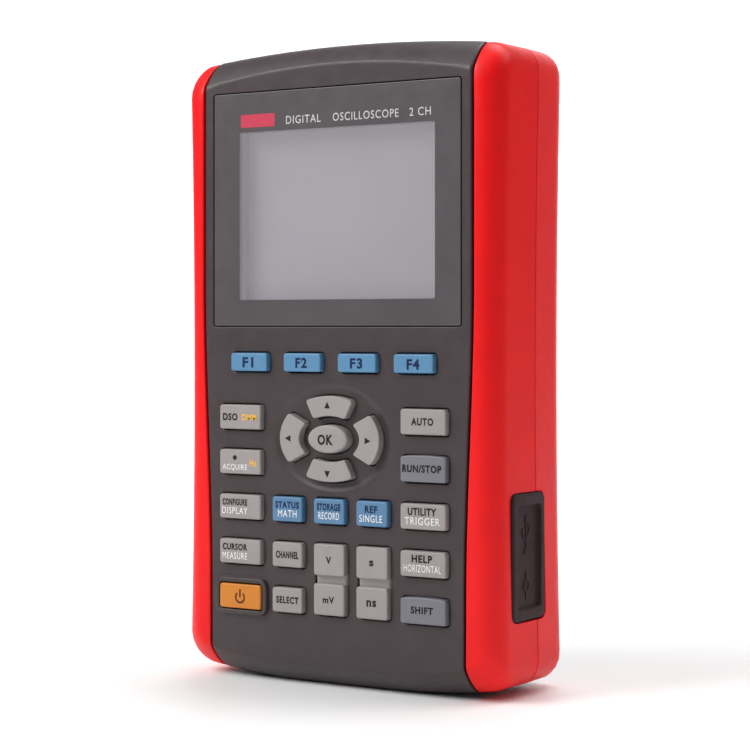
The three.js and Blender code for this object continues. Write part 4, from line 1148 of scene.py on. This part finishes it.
def build_port_cover():
    """A soft plug with a raised border, a sunk middle and two raised symbols."""
    sunk = PORT_FACE - 1.25
    inner = dict(width=14.6, length=31.0, corner=1.2)
    layers = [(side_rect(-0.2), PORT_FLOOR + 0.35), (side_rect(0), PORT_FLOOR + 0.6)]
    for a in np.radians(np.linspace(0, 90, 6)):
        layers.append((side_rect(-0.8 * (1 - math.cos(a))), PORT_FACE - 0.8 * (1 - math.sin(a))))
    for a in np.radians(np.linspace(90, 10, 5)):
        layers.append((side_rect(0.45 * (1 - math.cos(a)), **inner), PORT_FACE - 0.45 * (1 - math.sin(a))))
    layers += [(side_rect(-0.1, **inner), sunk + 0.25), (side_rect(-0.35, **inner), sunk)]
    skin = Skin()
    skin.stack(layers, "x")
    skin.make("port_cover_plug", RUBBER, "cover", "port_cover")

    trident = [bar((0, -4.6), (0, 4.4)), [(-0.9, 4.0), (0.9, 4.0), (0, 6.0)], circle(1.0, (0, -5.2), 20),
               bar((0, -2.6), (-1.9, -0.4)), bar((-1.9, -0.6), (-1.9, 0.9)), circle(0.65, (-1.9, 1.3), 20),
               bar((0, -1.2), (1.9, 0.9)), bar((1.9, 0.7), (1.9, 2.0)),
               [(1.3, 1.9), (2.5, 1.9), (2.5, 3.1), (1.3, 3.1)]]
    cover_symbol("port_cover_data_mark", trident, PORT_Z + 6.6, sunk)
    ring = polar(1.7, np.radians(np.arange(-60, 260, 20)))
    polarity = [bar((0, 1.6), (0, 4.2)), bar((0, -1.6), (0, -4.2)), circle(0.7, (0, 0), 20)]
    polarity += [bar(a, b, 0.4) for a, b in zip(ring, ring[1:])]
    cover_symbol("port_cover_power_mark", polarity, PORT_Z - 8.6, sunk)


def build_ports():
    """The tray behind the cover, with a USB socket and a round power socket in it."""
    usb = dict(z=USB_Z, width=4.2, length=8.0, corner=0.9)
    centre = (y_at(PORT_T), DC_Z)
    rim = PORT_FLOOR + 1.35
    tray = Skin()
    tray.stack([(side_rect(2.3), PORT_FLOOR - 1.6), (side_rect(2.3), rim), (side_rect(0.3), rim),
                (side_rect(0.3), PORT_FLOOR)], "x")
    cuts = [prism(outline, PORT_FLOOR - 6, PORT_FLOOR + 3, axis="x")
            for outline in (side_rect(0.3, **usb), circle(4.2, centre, 48))]
    place(boolean(tray, cuts), "port_tray", SHELL)

    socket = Skin()
    profile = [(0, 45.0), (0, 54.5), (-0.08, 54.6), (-0.4, 54.6), (-0.45, 54.4), (-0.45, 46.5)]
    socket.stack([(side_rect(grow, **usb), x) for grow, x in profile], "x")
    socket.make("usb_shell", NICKEL, "case", "usb_socket")
    tongue = rounded_rect(y_at(PORT_T), USB_Z, 1.0, 5.0, 0.2, 3)
    prism(tongue, 46.4, 53.6, axis="x").make("usb_tongue", BLACK)
    nose = [(3.9, 45.0), (3.9, 54.4), (3.75, 54.6), (3.2, 54.6), (3.05, 54.4), (3.05, 46.5)]
    lathe(nose, centre, "x").make("dc_jack_body", BLACK, "case", "dc_jack")
    lathe([(1.0, 46.4), (1.0, 52.7), (0.7, 53.1)], centre, "x", 32).make("dc_jack_pin", NICKEL)


# ---- Connectors on the top end ----


def build_bay_walls():
    """The walls round the sunk deck, one half on each housing."""
    x, wall = BAY_X + 0.02, 2.4
    halves = (("front", BAY_FRONT, -1, SHELL), ("rear", BAY_BACK, 1, SHELL_BACK))
    for name, near, out, material in halves:
        far = y_at(SEAM_T) + 0.15 * out
        inside, beyond = near + 0.02 * out, near + wall * out
        points = [(x, far), (x + wall, far), (x + wall, beyond), (-x - wall, beyond), (-x - wall, far),
                  (-x, far), (-x, inside), (x, inside)]
        top = [(a, b, float(end_surface(a, b - FRONT_Y, True)) - 0.9) for a, b in points]
        skin = Skin()
        skin.rings([layer(points, BAY_DECK - 5.5, "z"), top])
        skin.make(f"bay_walls_{name}", material)


def build_deck():
    """The drilled connector plate with its printed labels."""
    low, high = BAY_DECK - 2.5, BAY_DECK + 1
    outline = rounded_rect(0, (BAY_FRONT + BAY_BACK) / 2, 2 * (BAY_X - 0.1), BAY_BACK - BAY_FRONT - 0.2, 0.4)
    plate = prism(outline, low, BAY_DECK, axis="z")
    bores = [(5.3, x) for x in BNC_X] + [(6.4, x) for x in JACK_X]
    cuts = [lathe([(radius, low - 1), (radius, high)], (x, SOCKET_Y)) for radius, x in bores]
    line = rounded_rect(0, SOCKET_Y, 0.5, 18.0, 0.2, 2)
    cuts.append(prism(line, high, BAY_DECK - 0.3, axis="z"))
    place(boolean(plate, cuts), "connector_plate", SHELL_BACK, "case", "connector_panel")
    words = (("1", 0.9), ("2", 1.4), ("COM", 5.4), ("V", 1.7), ("A", 1.7))
    y = SOCKET_Y - 9.6
    for i, ((word, width), x) in enumerate(zip(words, BNC_X + JACK_X)):
        print_text(f"connector_label_{i + 1}", word, x, y, BAY_DECK, width, 1.9, INK_LIGHT, top=True)


def turned(profile, x, sides=48):
    """A turned form that stands on the deck."""
    return lathe(profile, (x, SOCKET_Y), "z", sides, BAY_DECK)


def washer(x, inner, height):
    profile = [(6.9, 0.3), (7.0, 0.5), (7.0, height - 0.3), (6.7, height), (inner, height), (inner, 0.3)]
    return turned(profile, x)


def build_bnc_socket(name, x):
    skin = turned([(4.8, -10.0), (4.8, 12.1), (4.6, 12.5), (4.2, 12.5), (4.05, 12.2), (4.05, 3.5)], x)
    skin.join(washer(x, 4.7, 2.3))
    skin.join(turned([(5.3, 2.3), (5.3, 3.3), (4.9, 3.5)], x))
    skin.join(turned([(7.0, -5.8), (7.0, -2.8)], x, 6))
    for side in (-1, 1):
        lug = [(1.0, side * 4.5), (1.0, side * 5.6), (0.8, side * 5.8)]
        skin.join(lathe(lug, (SOCKET_Y, BAY_DECK + 9), "x", 24, x))
    skin.make(name + "_barrel", NICKEL, "case", name)
    insulator = turned([(2.3, 3), (2.3, 11.3), (2.1, 11.5), (1.1, 11.5), (1.0, 11.2), (1.0, 8)], x, 36)
    insulator.make(name + "_insulator", INSULATOR)
    turned([(0.95, 7.9), (0.95, 11.0), (0.55, 11.1), (0.5, 8.4)], x, 24).make(name + "_contact", GOLD)


def build_jack(name, x, material):
    """A shrouded 4 mm jack: an insulated well with a sprung contact in its middle."""
    skin = turned([(6.0, -12), (6.0, 8.7), (5.8, 9), (5.1, 9), (4.9, 8.7), (4.9, -7.5), (3.0, -7.5),
                   (3.0, 4.7), (2.8, 5), (2.2, 5), (2.05, 4.8), (2.05, -7)], x)
    skin.join(washer(x, 5.9, 1.8))
    skin.make(name + "_shroud", material, "case", name)
    turned([(2.04, -6.9), (2.04, 3.6), (1.8, 3.7), (1.75, -6)], x, 32).make(name + "_contact", GOLD)


def build_sockets():
    for i, x in enumerate(BNC_X):
        build_bnc_socket(f"bnc_socket_{i + 1}", x)
    for name, x, material in zip(("com", "volts", "amps"), JACK_X, (BLACK, JACK_RED, JACK_RED)):
        build_jack(f"jack_{name}", x, material)


# ---- Display ----


def build_frame(name, outer, inner, t0, t1, material, node=None):
    """A rectangular tube between two depths."""
    skin = Skin()
    near, far = y_at(t0), y_at(t1)
    ids = skin.stack([(outer, near), (outer, far), (inner, far), (inner, near)], closed=False)
    skin.strip(ids[-1], ids[0], closed=True)
    skin.make(name, material, "case", node)


def build_window():
    """The lens: a grey border with a clear pane over the screen."""
    rim = rect_between(WINDOW_X, WINDOW_LOW, WINDOW_HIGH, 0.8)
    opening = rect_between(SCREEN_X, SCREEN_LOW, SCREEN_HIGH, 0.6, SCREEN_SHIFT)
    face = offset(rim, -0.2)
    back = y_at(WINDOW_THICK)
    skin = Skin()
    layers = [(rim, back), (rim, y_at(0.2)), (offset(rim, -0.06), y_at(0.06)), (face, y_at(0))]
    ids = skin.stack(layers, closed=False)
    inner = skin.stack([(opening, y_at(0)), (opening, back)], closed=False)
    skin.fill([*ids[-1], *inner[0]], [face, opening])
    skin.fill([*ids[0], *inner[1]], [rim, opening])
    skin.make("window_border", WINDOW_FACE, "case", "display_window")
    prism(offset(opening, -0.02), y_at(0.02), y_at(0.5)).make("window_pane", PANE)


def build_display():
    mouth = rect_between(SCREEN_X + 0.15, SCREEN_LOW - 0.15, SCREEN_HIGH + 0.15, 0.5, SCREEN_SHIFT)
    gasket = rect_between(LCD_X + 0.2, LCD_LOW + 0.6, LCD_HIGH - 1.0, 0.5)
    build_frame("display_gasket", gasket, mouth, WINDOW_THICK + 0.1, LCD_T, GASKET)
    outer = rect_between(LCD_X + 1.0, LCD_LOW - 1.0, LCD_HIGH + 1.0, 0.5)
    inner = rect_between(LCD_X + 0.3, LCD_LOW + 0.5, LCD_HIGH - 0.9, 0.5)
    build_frame("display_can", outer, inner, 3.6, 8.6, STEEL, "lcd_frame")
    panel = rect_between(LCD_X, LCD_LOW, LCD_HIGH, 0.5)
    prism(panel, y_at(LCD_T + 2.6), y_at(LCD_T)).make("display_glass", PANEL, "case", "lcd_module")


def dress_inner_nodes():
    """Gives the hidden CAD nodes that stay as they are a finish."""
    finishes = {"keypad_mat": MAT, "main_board": BOARD, "port_board": BOARD, "shield_can": STEEL,
                "beeper": BLACK, "battery_pack": WRAP, "stand_hinge_pin": STEEL}
    for name, material in finishes.items():
        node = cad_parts[name]
        for obj in node if isinstance(node, (list, tuple)) else [node]:
            obj.data.materials.clear()
            obj.data.materials.append(material)


# ---- Camera, light and floor, in metres ----


def add_camera():
    scene = bpy.context.scene
    camera = bpy.data.objects.new("camera", bpy.data.cameras.new("camera"))
    scene.collection.objects.link(camera)
    camera.location = (0.3531, -0.5516, 0.111)
    camera.rotation_euler = (math.radians(90), 0, math.radians(32.5))
    camera.data.lens = 99.4
    camera.data.sensor_width = 36
    camera.data.shift_y = -0.0627
    camera.data.clip_start = 0.01
    scene.camera = camera


def add_floor():
    """White paper that sweeps up into a wall behind the left of the object."""
    profile = [(-2.0, 0), (0.9, 0), (1.1, 0.02), (1.28, 0.09), (1.4, 0.24), (1.45, 0.45), (1.46, 2.2)]
    points = [(x, y, z) for y, z in profile for x in (-3.0, 0.4, 3.0)]
    corners = [3 * r for r in range(len(profile) - 1)] + [1]
    mesh = bpy.data.meshes.new("floor")
    mesh.from_pydata(points, [], [(i, i + 1, i + 4, i + 3) for i in corners])
    smooth(mesh, 60)
    plane = bpy.data.objects.new("floor", mesh)
    bpy.context.scene.collection.objects.link(plane)
    paper = Finish("paper", IOR=1.4)
    paper.vary("Base Color", (400.0, 2.0), linear(246, 246, 246), linear(250, 250, 250))
    paper.vary("Roughness", (150.0, 3.0), 0.5, 0.58)
    mesh.materials.append(paper.material)


def add_lamp(name, place_at, look_at, size, power):
    data = bpy.data.lights.new(name, "AREA")
    data.shape = "RECTANGLE"
    data.size, data.size_y = size
    data.energy = power
    lamp = bpy.data.objects.new(name, data)
    lamp.location = place_at
    lamp.rotation_euler = (Vector(look_at) - Vector(place_at)).to_track_quat("-Z", "Y").to_euler()
    bpy.context.scene.collection.objects.link(lamp)


def build_stage():
    scene = bpy.context.scene
    scene.view_settings.view_transform = "Standard"
    scene.world = bpy.data.worlds.new("world")
    scene.world.use_nodes = True
    background = scene.world.node_tree.nodes["Background"]
    background.inputs["Color"].default_value = (1, 1, 1, 1)
    background.inputs["Strength"].default_value = 0.2
    add_camera()
    add_floor()
    add_lamp("key_light", (-0.5, -0.6, 0.8), (0, 0, 0.1), (0.7, 0.7), 10.6)
    add_lamp("side_light", (0.5, 0.35, 0.8), (0.2, 0.25, 0), (0.5, 0.5), 2.2)
    add_lamp("top_light", (0.05, 0.35, 1.35), (0, 0, 0), (0.8, 0.5), 8.5)
    add_lamp("backdrop_light", (-0.8, 0.7, 0.9), (-0.95, 1.45, 0.35), (1.6, 0.6), 13)


build_front_housing()
build_rear_housing()
build_grips()
build_keys()
build_rockers()
print_legends()
print_window()
build_window()
build_display()
build_port_cover()
build_ports()
build_bay_walls()
build_deck()
build_sockets()
build_stand()
build_battery_door()
build_screws()
dress_inner_nodes()
build_stage()
